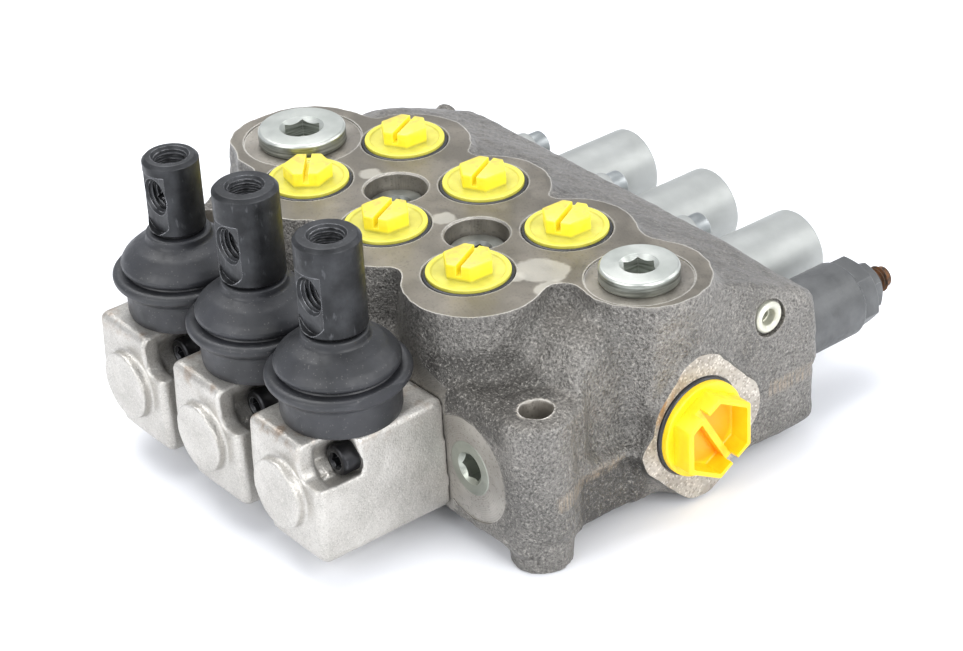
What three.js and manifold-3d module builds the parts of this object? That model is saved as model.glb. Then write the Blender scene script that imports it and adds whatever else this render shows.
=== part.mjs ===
// Three-section hydraulic monoblock valve with hand levers.
// Millimetres, +Z up. The valve is drawn in its casting frame: X runs along the row of spools,
// Y along each spool towards its spring cap, and Z = 0 is the machined port face.
// The last lines move the finished valve so that the origin is the bottom centre of its box.

import * as THREE from 'three';
import { mergeVertices } from 'three/addons/utils/BufferGeometryUtils.js';
import Module from 'manifold-3d';

const wasm = await Module();
wasm.setup();

// ---------------------------------------------------------------- driving dimensions
const PITCH = 36; // spool to spool
const SECTIONS = [-1, 0, 1]; // section number times PITCH is its X
const GAP = 0.3; // clearance left between seated pieces
const ROUND = 16; // segments of a large circle
const SMALL = 8; // segments of a small circle

const PORT_ROW = 17.1; // A ports at -PORT_ROW, B ports at +PORT_ROW
const SPOOL_Z = -39.7; // spool axis below the port face
const SPOOL_R = 7.9;

const FRONT_Y = -39.5; // machined face that carries the lever boxes
const BACK_Y = 67; // machined face that carries the spring caps
const LEFT_X = -79;
const RIGHT_X = 84;
const SHOULDER_Z = -24; // below this the casting is a plain block
const BASE_Z = -59.5; // underside of the casting
const FOOT_Z = -64; // underside of the feet

// Mounting ears, each with a through hole and a foot under it.
const EARS = [
  { x: 77.9, y: -29.8, top: -18, r: 9.8 },
  { x: -69.5, y: -30.3, top: -21, r: 8 },
  { x: -69.5, y: 54.5, top: -21, r: 8 },
];
const EAR_HOLE_R = 4.3;
const FOOT_R = 8.5;
const BLIND_FOOT = { x: 58, y: 48 }; // a foot without a hole

const PORT = { faceR: 12.5, faceDepth: 2, boreR: 8, depth: 14, galleryR: 6.2 };
const PORT_PLUG = { flangeR: 11.5, bottom: -1, top: 1, hexTop: 5.1, key: 12.3, slot: 1.6, stemR: 7.5 };
const PLUG_TURN = 0.48; // how far the plugs are screwed round
const FIRST_PLUG_TURN = 0.855; // the first A plug stops at another angle

const COLLAR_PLUGS = {
  carry_over_port_plug: { x: 69.1, y: 13.8, collar: 10.9, spot: 14.7, bore: 8.2, key: 8 },
  tank_port_plug: { x: -57.5, y: -3.6, collar: 12.7, spot: 17.1, bore: 10.2, key: 10 },
};
const CHECKS = [-14.9, 21.1]; // X of the load checks
const CHECK_Y = -2.3;
const CHECK_RECESS_R = 8.9;

const INLET = {
  y: 17.4, z: -39.5, face: 87, flange: 13.7, bore: 9.6, height: 8.8, ribTurn: 120,
  bossY: 19, bossZ: -41, bossHalf: 18.2, bossR: 10.2,
};
const GAUGE = { y: 46.5, z: -19.5, r: 4.6 };
const GALLERY = { x: 61.3, z: -39.6, r: 8.2, face: 15.5 };
const RELIEF = { x: 66, z: -39.5, sleeve: 11.1, shank: 8.2, hexFrom: 91, hexTo: 98, end: 109.3 };

const LEVER_Y = -60.9; // lever axis
const PIVOT_Z = -25; // centre of the lever's ball
const LEVER_TOP = [24, 28.7, 28.7]; // top of each lever, by section
const LEVER_R = [7.8, 8.9, 8.9];
const LEVER_NECK_R = 6.8; // where the boot grips
const LEVER_HOLE_R = 4.3; // M10 threads in the top and in the flat
const LEVER_FLAT = { from: 3.4, to: 20.5, depth: 1.9, hole: 13.2 };
const BALL_R = 8;
const TAIL_BALL_R = 3.6; // drives the eye of the spool
const BOX = { half: 15.6, front: -81, top: -23, bottom: -56, edge: 1.5, boss: 9.8, bossOut: 3 };
const BOX_SCREW = { dx: 9.2, dz: 8.7, seat: -65.5, tip: -30 };
const CAP = { r: 11.7, flange: 5, end: 103.9, wall: 2 };
const CAP_SCREW = { d: 12.2, tip: 56 };
const HEAD = { r: 4.25, h: 5, shank: 2.5, key: 4 };

// Lobes of the machined port face: centre, radius, and fillet to the next lobe,
// anticlockwise from the carry-over port.
const LOBES = [
  [68.7, 16, 18.4, 8],
  [PITCH + 2, PORT_ROW, 17.9, 3.6],
  [2, PORT_ROW, 17.9, 3.6],
  [2 - PITCH, PORT_ROW, 17.9, 4],
  [-57.5, -3.6, 21.3, 4],
  [4 - PITCH, -18.5, 19.8, 4],
  [4, -18.5, 19.8, 4],
  [PITCH + 4, -18.5, 19.8, 5],
];

// ---------------------------------------------------------------- materials
function finish(color, roughness, metalness) {
  return new THREE.MeshStandardMaterial({ color, roughness, metalness });
}

const castIron = finish(0x6f6d6a, 0.75, 0.55);
const zinc = finish(0xb9bcbc, 0.35, 0.9);
const aluminium = finish(0xa8a69f, 0.5, 0.8);
const blackSteel = finish(0x35363a, 0.5, 0.6);
const brightSteel = finish(0xa0a3a6, 0.25, 0.95);
const springSteel = finish(0x77797c, 0.35, 0.9);
const rubber = finish(0x2b2c2f, 0.8, 0);
const yellowPlastic = finish(0xe6df45, 0.45, 0);
const inletPlastic = finish(0xf7c400, 0.45, 0);
const whitePlated = finish(0xd9dccf, 0.4, 0.4);

// ---------------------------------------------------------------- solids
// Turns a closed three.js geometry into a manifold solid whose faces point out.
function solid(geometry) {
  geometry.deleteAttribute('normal');
  geometry.deleteAttribute('uv');
  const merged = mergeVertices(geometry, 1e-4);
  const index = merged.index.array;
  const triangles = [];
  for (let i = 0; i < index.length; i += 3) {
    const [a, b, c] = [index[i], index[i + 1], index[i + 2]];
    if (a !== b && b !== c && c !== a) triangles.push(a, b, c);
  }
  const positions = merged.attributes.position.array;
  if (signedVolume(positions, triangles) < 0) triangles.reverse();
  return new wasm.Manifold(new wasm.Mesh({
    numProp: 3,
    vertProperties: new Float32Array(positions),
    triVerts: new Uint32Array(triangles),
  }));
}

function signedVolume(positions, triangles) {
  const [a, b, c] = [new THREE.Vector3(), new THREE.Vector3(), new THREE.Vector3()];
  let sum = 0;
  for (let i = 0; i < triangles.length; i += 3) {
    a.fromArray(positions, 3 * triangles[i]);
    b.fromArray(positions, 3 * triangles[i + 1]);
    c.fromArray(positions, 3 * triangles[i + 2]);
    sum += a.dot(b.cross(c));
  }
  return sum / 6;
}

// Geometries are made along +Z, then turned so that their Z lies along the named axis.
function point(geometry, axis) {
  if (axis === 'y') geometry.rotateX(-Math.PI / 2);
  if (axis === 'x') geometry.rotateY(Math.PI / 2);
  return geometry;
}

// A turned piece: the profile lists [radius, height along the axis].
function turned(profile, { axis = 'z', at = [0, 0, 0], segments = ROUND } = {}) {
  const points = profile.map(([r, h]) => new THREE.Vector2(r, h));
  const geometry = new THREE.LatheGeometry(points, segments);
  geometry.rotateX(Math.PI / 2);
  return solid(point(geometry, axis).translate(...at));
}

function rod(radius, from, to, options) {
  return turned([[0, from], [radius, from], [radius, to], [0, to]], options);
}

function tube(inner, outer, from, to, options) {
  return turned([[inner, from], [outer, from], [outer, to], [inner, to], [inner, from]], options);
}

function ball(radius, at, segments = ROUND) {
  const geometry = new THREE.SphereGeometry(radius, segments, segments / 2);
  return solid(geometry.rotateX(Math.PI / 2).translate(...at));
}

// A box between two opposite corners.
function block([x0, y0, z0], [x1, y1, z1]) {
  const geometry = new THREE.BoxGeometry(x1 - x0, y1 - y0, z1 - z0);
  return solid(geometry.translate((x0 + x1) / 2, (y0 + y1) / 2, (z0 + z1) / 2));
}

// A flat outline pulled along an axis from one height to another.
function pulled(shape, from, to, { axis = 'z', at = [0, 0, 0] } = {}) {
  const depth = to - from;
  const geometry = new THREE.ExtrudeGeometry(shape, { depth, bevelEnabled: false, curveSegments: 3 });
  return solid(point(geometry.translate(0, 0, from), axis).translate(...at));
}

// An outline drawn in X and Z about a centre, pulled along Y.
function upright(shape, fromY, toY, x, z) {
  const depth = toY - fromY;
  const geometry = new THREE.ExtrudeGeometry(shape, { depth, bevelEnabled: false, curveSegments: 3 });
  return solid(geometry.rotateX(Math.PI / 2).translate(x, toY, z));
}

function hexagon(acrossFlats, turn = 0) {
  const corner = acrossFlats / Math.sqrt(3);
  const points = [];
  for (let i = 0; i < 6; i++) {
    const angle = turn + (i * Math.PI) / 3;
    points.push(new THREE.Vector2(corner * Math.cos(angle), corner * Math.sin(angle)));
  }
  return new THREE.Shape(points);
}

function roundedRectangle(x0, y0, x1, y1, r) {
  const shape = new THREE.Shape();
  shape.moveTo(x0 + r, y0);
  shape.absarc(x1 - r, y0 + r, r, -Math.PI / 2, 0);
  shape.absarc(x1 - r, y1 - r, r, 0, Math.PI / 2);
  shape.absarc(x0 + r, y1 - r, r, Math.PI / 2, Math.PI);
  shape.absarc(x0 + r, y0 + r, r, Math.PI, 1.5 * Math.PI);
  return shape;
}

// A square with rounded corners that stands on one corner.
function roundedDiamond(half, r) {
  const reach = (half - r) * Math.SQRT2;
  const shape = new THREE.Shape();
  for (let i = 0; i < 4; i++) {
    const angle = (i * Math.PI) / 2;
    shape.absarc(reach * Math.cos(angle), reach * Math.sin(angle), r, angle - Math.PI / 4, angle + Math.PI / 4);
  }
  return shape;
}

// The outline that runs round a ring of circular lobes, with a hollow fillet between neighbours.
// Each lobe is [x, y, radius, fillet to the next]; grow makes every lobe larger.
function lobedOutline(lobes, grow = 0, steps = 4) {
  const fillets = lobes.map(([x, y, r, f], i) => {
    const next = lobes[(i + 1) % lobes.length];
    const reach = r + grow + f;
    const nextReach = next[2] + grow + f;
    const span = Math.hypot(next[0] - x, next[1] - y);
    const along = (span * span + reach * reach - nextReach * nextReach) / (2 * span);
    const out = Math.sqrt(reach * reach - along * along);
    const [ux, uy] = [(next[0] - x) / span, (next[1] - y) / span];
    return [x + ux * along + uy * out, y + uy * along - ux * out];
  });
  const points = [];
  const sweep = (x, y, r, from, to, clockwise) => {
    let turn = to - from;
    while (turn < 0) turn += 2 * Math.PI;
    if (clockwise) turn -= 2 * Math.PI;
    for (let k = 0; k < steps; k++) {
      const angle = from + (turn * k) / steps;
      points.push(new THREE.Vector2(x + r * Math.cos(angle), y + r * Math.sin(angle)));
    }
  };
  lobes.forEach(([x, y, r, f], i) => {
    const before = fillets[(i + lobes.length - 1) % lobes.length];
    const after = fillets[i];
    const next = lobes[(i + 1) % lobes.length];
    sweep(x, y, r + grow, angleTo(x, y, before), angleTo(x, y, after), false);
    sweep(...after, f, angleTo(...after, [x, y]), angleTo(...after, next), true);
  });
  return points;
}

function angleTo(x, y, target) {
  return Math.atan2(target[1] - y, target[0] - x);
}

// A solid through flat outlines with the same number of points, each at its own height.
function loft(outlines, heights) {
  const count = outlines[0].length;
  const positions = [];
  outlines.forEach((outline, k) => outline.forEach((p) => positions.push(p.x, p.y, heights[k])));
  const index = [];
  for (let k = 0; k + 1 < outlines.length; k++) {
    for (let i = 0; i < count; i++) {
      const [a, b] = [k * count + i, k * count + ((i + 1) % count)];
      index.push(a, b, b + count, a, b + count, a + count);
    }
  }
  for (const [a, b, c] of THREE.ShapeUtils.triangulateShape(outlines[0], [])) index.push(c, b, a);
  const last = (outlines.length - 1) * count;
  for (const [a, b, c] of THREE.ShapeUtils.triangulateShape(outlines.at(-1), [])) {
    index.push(last + a, last + b, last + c);
  }
  const geometry = new THREE.BufferGeometry();
  geometry.setAttribute('position', new THREE.Float32BufferAttribute(positions, 3));
  geometry.setIndex(index);
  return solid(geometry);
}

function joined(first, ...rest) {
  return rest.reduce((sum, piece) => sum.add(piece), first);
}

function cut(stock, ...tools) {
  return tools.reduce((sum, tool) => sum.subtract(tool), stock);
}

// A coil spring about +Z with its ends left open.
function coil(radius, wire, from, to, turns, { axis = 'z', at = [0, 0, 0] } = {}) {
  const points = [];
  const steps = turns * 8;
  for (let i = 0; i <= steps; i++) {
    const angle = (i / steps) * turns * 2 * Math.PI;
    const height = from + wire + ((to - from - 2 * wire) * i) / steps;
    points.push(new THREE.Vector3(radius * Math.cos(angle), radius * Math.sin(angle), height));
  }
  const path = new THREE.CatmullRomCurve3(points);
  const section = new THREE.Shape();
  section.moveTo(wire, 0);
  section.lineTo(0, wire);
  section.lineTo(-wire, 0);
  section.lineTo(0, -wire);
  const geometry = new THREE.ExtrudeGeometry(section, { steps, extrudePath: path, bevelEnabled: false });
  return solid(point(geometry, axis).translate(...at));
}

const valve = new THREE.Group();

function add(name, piece, material) {
  const { vertProperties, triVerts } = piece.getMesh();
  const geometry = new THREE.BufferGeometry();
  geometry.setAttribute('position', new THREE.BufferAttribute(vertProperties, 3));
  geometry.setIndex(new THREE.BufferAttribute(triVerts, 1));
  geometry.computeVertexNormals();
  const mesh = new THREE.Mesh(geometry, material);
  mesh.name = name;
  valve.add(mesh);
}

// ---------------------------------------------------------------- casting
function castingStock() {
  const base = pulled(roundedRectangle(LEFT_X, FRONT_Y, RIGHT_X, BACK_Y, 8), BASE_Z, SHOULDER_Z);
  const tower = loft([lobedOutline(LOBES, 1), lobedOutline(LOBES)], [SHOULDER_Z - 1, 0]);
  return joined(base, tower, backSlope(), frontCorner());
}

// The roof that falls from the port face to the spring cap face, drawn in Y and Z.
function backSlope() {
  const [from, to] = [-55, RIGHT_X - 2];
  const roof = [[-6, SHOULDER_Z - 1], [BACK_Y, SHOULDER_Z - 1], [64, -18], [59, -12], [30, -2], [-6, -2]];
  const shape = new THREE.Shape(roof.map(([y, z]) => new THREE.Vector2(y, z)));
  const geometry = new THREE.ExtrudeGeometry(shape, { depth: to - from, bevelEnabled: false });
  return solid(geometry.rotateY(Math.PI / 2).rotateX(Math.PI / 2).translate(from, 0, 0));
}

// The corner that falls from the port face to the front ear.
function frontCorner() {
  const [inner, outer, back] = [46, RIGHT_X + 1, 14];
  const foot = [[inner, back], [inner, FRONT_Y], [outer, FRONT_Y], [outer, back]];
  const brow = [[inner, back], [inner, -20], [inner + 26, -4], [inner + 36, back]];
  const ring = (points) => points.map(([x, y]) => new THREE.Vector2(x, y));
  return loft([ring(foot), ring(foot), ring(brow)], [SHOULDER_Z - 1, EARS[0].top - 1, -1.5]);
}

function foot({ x, y }) {
  return rod(FOOT_R, FOOT_Z, BASE_Z + 1, { at: [x, y, 0] });
}

function portCut(x, y) {
  const options = { at: [x, y, 0] };
  return joined(
    rod(PORT.faceR, -PORT.faceDepth, 2, options),
    rod(PORT.boreR, -PORT.depth, -1, options),
    rod(PORT.galleryR, SPOOL_Z, 1 - PORT.depth, { ...options, segments: SMALL }),
  );
}

// The feet, the ears and the boss of the inlet, and the clearances round them.
function withOutsideFeatures(stock) {
  let body = joined(stock, ...EARS.map(foot), foot(BLIND_FOOT));
  body = joined(body, ...EARS.map(({ x, y, top, r }) => rod(r, BASE_Z, top, { at: [x, y, 0] })));
  const boss = { axis: 'x', at: [0, INLET.bossY, INLET.bossZ] };
  body = body.add(pulled(roundedDiamond(INLET.bossHalf, INLET.bossR), RIGHT_X - 4, INLET.face, boss));
  body = cut(body, ...EARS.map(({ x, y, top, r }) => rod(r + 1.5, top, 2, { at: [x, y, 0] })));
  const hollow = rod(7.5, -39.5, -14, { at: [RIGHT_X + 4.5, -11.5, 0], segments: SMALL });
  const setBack = block([RIGHT_X - 4, -21, BASE_Z - 1], [RIGHT_X + 4, -3.6, -42]);
  const earHoles = EARS.map(({ x, y }) => rod(EAR_HOLE_R, FOOT_Z - 1, 2, { at: [x, y, 0], segments: 12 }));
  return cut(body, hollow, setBack, ...earHoles);
}

function buildBody() {
  let body = withOutsideFeatures(castingStock());
  for (const section of SECTIONS) {
    const x = section * PITCH;
    body = cut(body, portCut(x, -PORT_ROW), portCut(x, PORT_ROW));
    body = body.subtract(rod(SPOOL_R + 0.1, FRONT_Y - 1, BACK_Y + 1, { axis: 'y', at: [x, 0, SPOOL_Z] }));
    for (const side of [-1, 1]) {
      const options = { axis: 'y', segments: SMALL };
      const boxHole = { ...options, at: [x + side * BOX_SCREW.dx, 0, SPOOL_Z + side * BOX_SCREW.dz] };
      body = body.subtract(rod(HEAD.shank + GAP, FRONT_Y - 1, BOX_SCREW.tip + 1, boxHole));
      const capHole = { ...options, at: [x - side * CAP_SCREW.d, 0, SPOOL_Z + side * CAP_SCREW.d] };
      body = body.subtract(rod(HEAD.shank + GAP, CAP_SCREW.tip - 1, BACK_Y + 1, capHole));
    }
  }
  for (const plug of Object.values(COLLAR_PLUGS)) {
    const options = { at: [plug.x, plug.y, 0] };
    body = cut(body, rod(plug.spot, -0.5, 2, options), rod(plug.bore + GAP, -16, 0, options));
    body = body.subtract(rod(7, SPOOL_Z, -15, { ...options, segments: SMALL }));
  }
  for (const x of CHECKS) {
    const options = { at: [x, CHECK_Y, 0] };
    body = cut(body, rod(CHECK_RECESS_R, -17, 1, options), rod(7.3, -32, -16, options));
    body = body.subtract(rod(4.5, -42, -31, { ...options, segments: SMALL }));
  }
  // feed gallery under the load checks, its end plug, the inlet and the relief bore
  const feed = { axis: 'x', at: [0, CHECK_Y, -41], segments: SMALL };
  body = body.subtract(rod(4.5, CHECKS[0], GALLERY.x, feed));
  const gallery = { axis: 'y', at: [GALLERY.x, 0, GALLERY.z] };
  body = cut(body, rod(9, FRONT_Y - 1, FRONT_Y + 3, gallery), rod(6.5, FRONT_Y, 22, gallery));
  const inlet = { axis: 'x', at: [0, INLET.y, INLET.z] };
  body = cut(body, rod(14.5, INLET.face - 0.8, 90, inlet), rod(INLET.bore, 62, 90, inlet));
  const relief = { axis: 'y', at: [RELIEF.x, 0, RELIEF.z] };
  body = cut(body, rod(RELIEF.shank + GAP, 38, BACK_Y + 1, relief), rod(4.5, 20, 39, relief));
  const gauge = { axis: 'x', at: [0, GAUGE.y, GAUGE.z], segments: SMALL };
  body = cut(body, rod(GAUGE.r + 0.4, RIGHT_X - 5, 90, gauge), rod(2.5, RIGHT_X - 16, RIGHT_X - 4, gauge));
  return body;
}

// ---------------------------------------------------------------- plugs and seals
function portPlug(x, y, turn) {
  const options = { at: [x, y, 0] };
  const { flangeR, bottom, top, hexTop, key, slot, stemR } = PORT_PLUG;
  const stem = turned([[0, -11], [6, -11], [stemR, -10], [stemR, bottom], [0, bottom]], options);
  const flange = rod(flangeR, bottom, top, options);
  const head = pulled(hexagon(key, turn), top - 0.1, hexTop, options);
  const groove = pulled(roundedRectangle(-9, -slot / 2, 9, slot / 2, 0.5), top + 0.8, hexTop + 1);
  const across = THREE.MathUtils.radToDeg(turn) + 90;
  return joined(stem, flange, head).subtract(groove.rotate([0, 0, across]).translate(x, y, 0));
}

function collarPlug({ x, y, collar, bore, key }) {
  const options = { at: [x, y, 0] };
  const rim = collar - 0.5;
  const stock = turned(
    [[0, -13], [bore, -13], [bore, 0.2], [collar, 0.2], [collar, 3.6], [rim, 4.1], [0, 4.1]],
    options,
  );
  return stock.subtract(pulled(hexagon(key, 0.4), -3, 5, options));
}

function checkPlug(x) {
  const options = { at: [x, CHECK_Y, 0] };
  const stock = turned([[0, -15.5], [8.5, -15.5], [8.5, -5.2], [8, -4.6], [0, -4.6]], options);
  const pocket = rod(4.2, -17, -11.5, { ...options, segments: SMALL });
  return cut(stock, pulled(hexagon(6, 0.2), -9, -4, options), pocket);
}

function checkPoppet(x) {
  const profile = [[0, -31.5], [5, -31.5], [6.8, -29.5], [6.8, -27], [2.2, -27], [2.2, -20], [0, -20]];
  return turned(profile, { at: [x, CHECK_Y, 0], segments: 12 });
}

function inletPlug() {
  const options = { axis: 'x', at: [0, INLET.y, INLET.z] };
  const base = INLET.face + GAP;
  const stem = rod(INLET.bore - GAP, base - 15, base, options);
  const flange = rod(INLET.flange, base, base + 2.6, options);
  const hex = pulled(hexagon(22), base + 2.5, base + INLET.height, options);
  const hollow = pulled(hexagon(19.4), base + 4, base + INLET.height + 1, options);
  const turnedBar = (from, to, half, thick) =>
    block([base + from, -half, -thick / 2], [base + to, half, thick / 2])
      .rotate([INLET.ribTurn, 0, 0]).translate(0, INLET.y, INLET.z);
  const rib = turnedBar(2, INLET.height - 1, 10, 1.8);
  const slot = turnedBar(5.5, INLET.height + 1, 13, 2.2);
  return cut(joined(stem, flange, hex).subtract(hollow).add(rib), slot);
}

function galleryPlug() {
  const options = { axis: 'y', at: [GALLERY.x, 0, GALLERY.z] };
  const [rim, r, stemR] = [FRONT_Y - 0.1, GALLERY.r, 6.2];
  const profile = [[0, rim], [r, rim], [r, rim + 1], [stemR, rim + 2.6], [stemR, rim + 12], [0, rim + 12]];
  return turned(profile, options).subtract(pulled(hexagon(7), rim - 1, rim + 6, options));
}

// ---------------------------------------------------------------- lever section
function leverBox(x) {
  const { half, front, top, bottom, edge } = BOX;
  const outline = (inset, r) => roundedRectangle(inset - half, bottom + inset, half - inset, top - inset, r);
  const shell = upright(outline(0, 3), front + edge, FRONT_Y - GAP, x, 0);
  const nose = upright(outline(1.2, 2.5), front, front + edge + 0.5, x, 0);
  const boss = rod(BOX.boss, front - BOX.bossOut, front + 1, { axis: 'y', at: [x, 0, SPOOL_Z] });
  let box = joined(shell, nose, boss);
  const along = { axis: 'y', at: [x, 0, SPOOL_Z] };
  const down = { at: [x, LEVER_Y, 0] };
  box = cut(
    box,
    rod(SPOOL_R + 0.5, -76, FRONT_Y + 1, along),
    ball(BALL_R + 0.6, [x, LEVER_Y, PIVOT_Z]),
    rod(13, PIVOT_Z + 0.2, BOX.top + 1, down),
    block([x - 3.4, LEVER_Y - 7, -34], [x + 3.4, LEVER_Y + 7, PIVOT_Z]),
  );
  for (const side of [-1, 1]) {
    const [sx, sz] = [x + side * BOX_SCREW.dx, SPOOL_Z + side * BOX_SCREW.dz];
    const hole = { axis: 'y', at: [sx, 0, sz], segments: SMALL };
    const corner = [x + side * (BOX.half + 1), sz + side * 9];
    const open = block(
      [Math.min(sx - side, corner[0]), BOX.front - 1, Math.min(sz - side, corner[1])],
      [Math.max(sx - side, corner[0]), BOX_SCREW.seat, Math.max(sz - side, corner[1])],
    );
    const scoop = rod(6.4, BOX.front - 1, BOX_SCREW.seat, { ...hole, segments: ROUND });
    box = cut(box, open, scoop, rod(HEAD.shank + GAP, BOX.front, FRONT_Y + 1, hole));
  }
  return box;
}

function capScrew(x, z, seat, tip, inward) {
  const hole = { axis: 'y', at: [x, 0, z], segments: SMALL };
  const face = seat - inward * (HEAD.h + GAP);
  const under = seat - inward * GAP;
  const [h0, h1] = [Math.min(face, under), Math.max(face, under)];
  const [s0, s1] = [Math.min(under, tip), Math.max(under, tip)];
  const key = inward > 0 ? [face - 1, face + 2.8] : [face - 2.8, face + 1];
  const screw = joined(rod(HEAD.r, h0, h1, hole), rod(HEAD.shank, s0, s1, hole));
  return screw.subtract(pulled(hexagon(HEAD.key), ...key, { axis: 'y', at: [x, 0, z] }));
}

function boxScrew(x, side) {
  return capScrew(x + side * BOX_SCREW.dx, SPOOL_Z + side * BOX_SCREW.dz, BOX_SCREW.seat, BOX_SCREW.tip, 1);
}

function springCapScrew(x, side) {
  const d = CAP_SCREW.d;
  return capScrew(x - side * d, SPOOL_Z + side * d, BACK_Y + GAP + CAP.flange, CAP_SCREW.tip, -1);
}

function lever(x, i) {
  const [top, r] = [LEVER_TOP[i], LEVER_R[i]];
  const down = { at: [x, LEVER_Y, 0] };
  const neck = [[0, -7], [4.5, -7], [LEVER_NECK_R, -3.5], [LEVER_NECK_R, 2.1]];
  const knob = [[r - 0.5, 2.1], [r, 2.6], [r, top - 0.6], [r - 0.6, top], [0, top]];
  const head = turned([...neck, ...knob], down);
  const shank = rod(4.5, PIVOT_Z, -6.5, { ...down, segments: 12 });
  const tail = rod(2.2, SPOOL_Z, PIVOT_Z, { ...down, segments: SMALL });
  const balls = joined(ball(BALL_R, [x, LEVER_Y, PIVOT_Z]), ball(TAIL_BALL_R, [x, LEVER_Y, SPOOL_Z], 12));
  const stock = joined(head, shank, tail, balls);
  const face = LEVER_Y - r;
  const flat = block([x - 10, face - 1, LEVER_FLAT.from], [x + 10, face + LEVER_FLAT.depth, LEVER_FLAT.to]);
  const cross = rod(LEVER_HOLE_R, face - 1, LEVER_Y + 1, { axis: 'y', at: [x, 0, LEVER_FLAT.hole], segments: 12 });
  const topHole = rod(LEVER_HOLE_R, top - 12, top + 1, { ...down, segments: 12 });
  return cut(stock, flat, cross, topHole);
}

function ballSeat(x) {
  const outside = [[8.4, -24.5], [12.7, -24.5], [12.7, -19.8], [8, -19.8]];
  const inside = [[7.4, -20.6], [7.4, -21.4], [8.4, -24.5]];
  return turned([...outside, ...inside], { at: [x, LEVER_Y, 0] });
}

// A moulded boot: neck on the lever, dome, lip and collar. Neighbouring lips press flat.
function boot(x) {
  const inside = [[7.15, 1.6], [7.15, -2], [8.6, -4], [14.6, -8], [16.6, -10.6], [14.2, -13], [13.4, -21.7]];
  const collar = [[16.3, -21.7], [16.3, -14.2], [19.4, -12], [19.4, -10]];
  const dome = [[15.2, -9.2], [16.8, -7.2], [13, -2.8], [8.8, -0.8], [8.8, 1.6], [7.15, 1.6]];
  const skirt = turned([...inside, ...collar, ...dome], { at: [x, LEVER_Y, 0] });
  const side = PITCH / 2 - GAP / 2;
  return skirt.intersect(block([x - side, LEVER_Y - 30, -40], [x + side, LEVER_Y + 30, 20]));
}

// ---------------------------------------------------------------- spool section
function spool(x) {
  const along = { axis: 'y', at: [x, 0, SPOOL_Z] };
  const [r, groove] = [SPOOL_R, SPOOL_R - 2.6];
  const profile = [[0, -69], [7.3, -69], [7.3, -46], [r, -46]];
  for (const centre of [-20, 12, 44]) {
    profile.push([r, centre - 5], [groove, centre - 4], [groove, centre + 4], [r, centre + 5]);
  }
  profile.push([r, 66], [6, 66], [6, 70], [3, 70], [3, 96], [0, 96]);
  const eyeTop = block([x - 9, -72, SPOOL_Z + 4], [x + 9, -50, SPOOL_Z + 10]);
  const eye = block([x - 3.9, LEVER_Y - 4, SPOOL_Z - 5], [x + 3.9, LEVER_Y + 4, SPOOL_Z + 10]);
  return cut(turned(profile, along), eyeTop, eye);
}

function springCap(x) {
  const along = { axis: 'y', at: [x, 0, SPOOL_Z] };
  const face = BACK_Y + GAP;
  const d = CAP_SCREW.d;
  const outline = lobedOutline([[-d, d, 5.4, 12], [0, 0, 13.4, 12], [d, -d, 5.4, 12], [0, 0, 13.4, 12]]);
  const flange = upright(new THREE.Shape(outline), face, face + CAP.flange, x, SPOOL_Z);
  const cup = turned(
    [[0, face], [CAP.r, face], [CAP.r, CAP.end - 1], [CAP.r - 1, CAP.end], [0, CAP.end]],
    along,
  );
  let cap = joined(flange, cup).subtract(rod(CAP.r - CAP.wall, face - 1, CAP.end - CAP.wall, along));
  for (const side of [-1, 1]) {
    const hole = { axis: 'y', at: [x - side * d, 0, SPOOL_Z + side * d], segments: SMALL };
    cap = cap.subtract(rod(HEAD.shank + GAP, face - 1, face + CAP.flange + 1, hole));
    cap = cap.subtract(rod(HEAD.r + 0.4, face + CAP.flange, CAP.end - 10, hole));
  }
  return cap;
}

// ---------------------------------------------------------------- relief valve
function reliefPieces() {
  const along = { axis: 'y', at: [RELIEF.x, 0, RELIEF.z] };
  const { sleeve, shank, hexFrom, hexTo, end } = RELIEF;
  const face = BACK_Y + GAP;
  const nose = [[0, 40], [shank, 40], [shank, face]];
  const shell = turned([...nose, [sleeve, face], [sleeve, hexFrom], [0, hexFrom]], along);
  const hex = pulled(hexagon(19), hexFrom - 1, hexTo, along);
  const chamber = rod(5.5, 46, hexTo - 6, along);
  const seatHole = rod(3, 39, 47, { ...along, segments: SMALL });
  const thread = rod(4.1, hexTo - 7, hexTo + 1, along);
  add('relief_cartridge', cut(joined(shell, hex), chamber, seatHole, thread), blackSteel);
  const nut = pulled(hexagon(13), hexTo + GAP, hexTo + 4.8, along);
  add('relief_lock_nut', nut.subtract(rod(4.1, hexTo - 1, hexTo + 6, along)), blackSteel);
  const screw = rod(3.7, 84, end, { ...along, segments: 12 });
  add('relief_screw', screw.subtract(pulled(hexagon(3.6), end - 3, end + 1, along)), blackSteel);
  const seat = [[0, 76.5], [2.2, 76.5], [2.2, 80], [4.9, 80], [4.9, 83.4], [0, 83.4]];
  add('relief_spring_seat', turned(seat, along), brightSteel);
  add('relief_spring', coil(3.9, 0.8, 56.4, 79.7, 6, along), springSteel);
  const poppet = [[0, 45], [0.8, 45], [4.6, 51], [4.6, 56], [2.2, 56], [2.2, 60], [0, 60]];
  add('relief_poppet', turned(poppet, { ...along, segments: 12 }), brightSteel);
}

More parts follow.
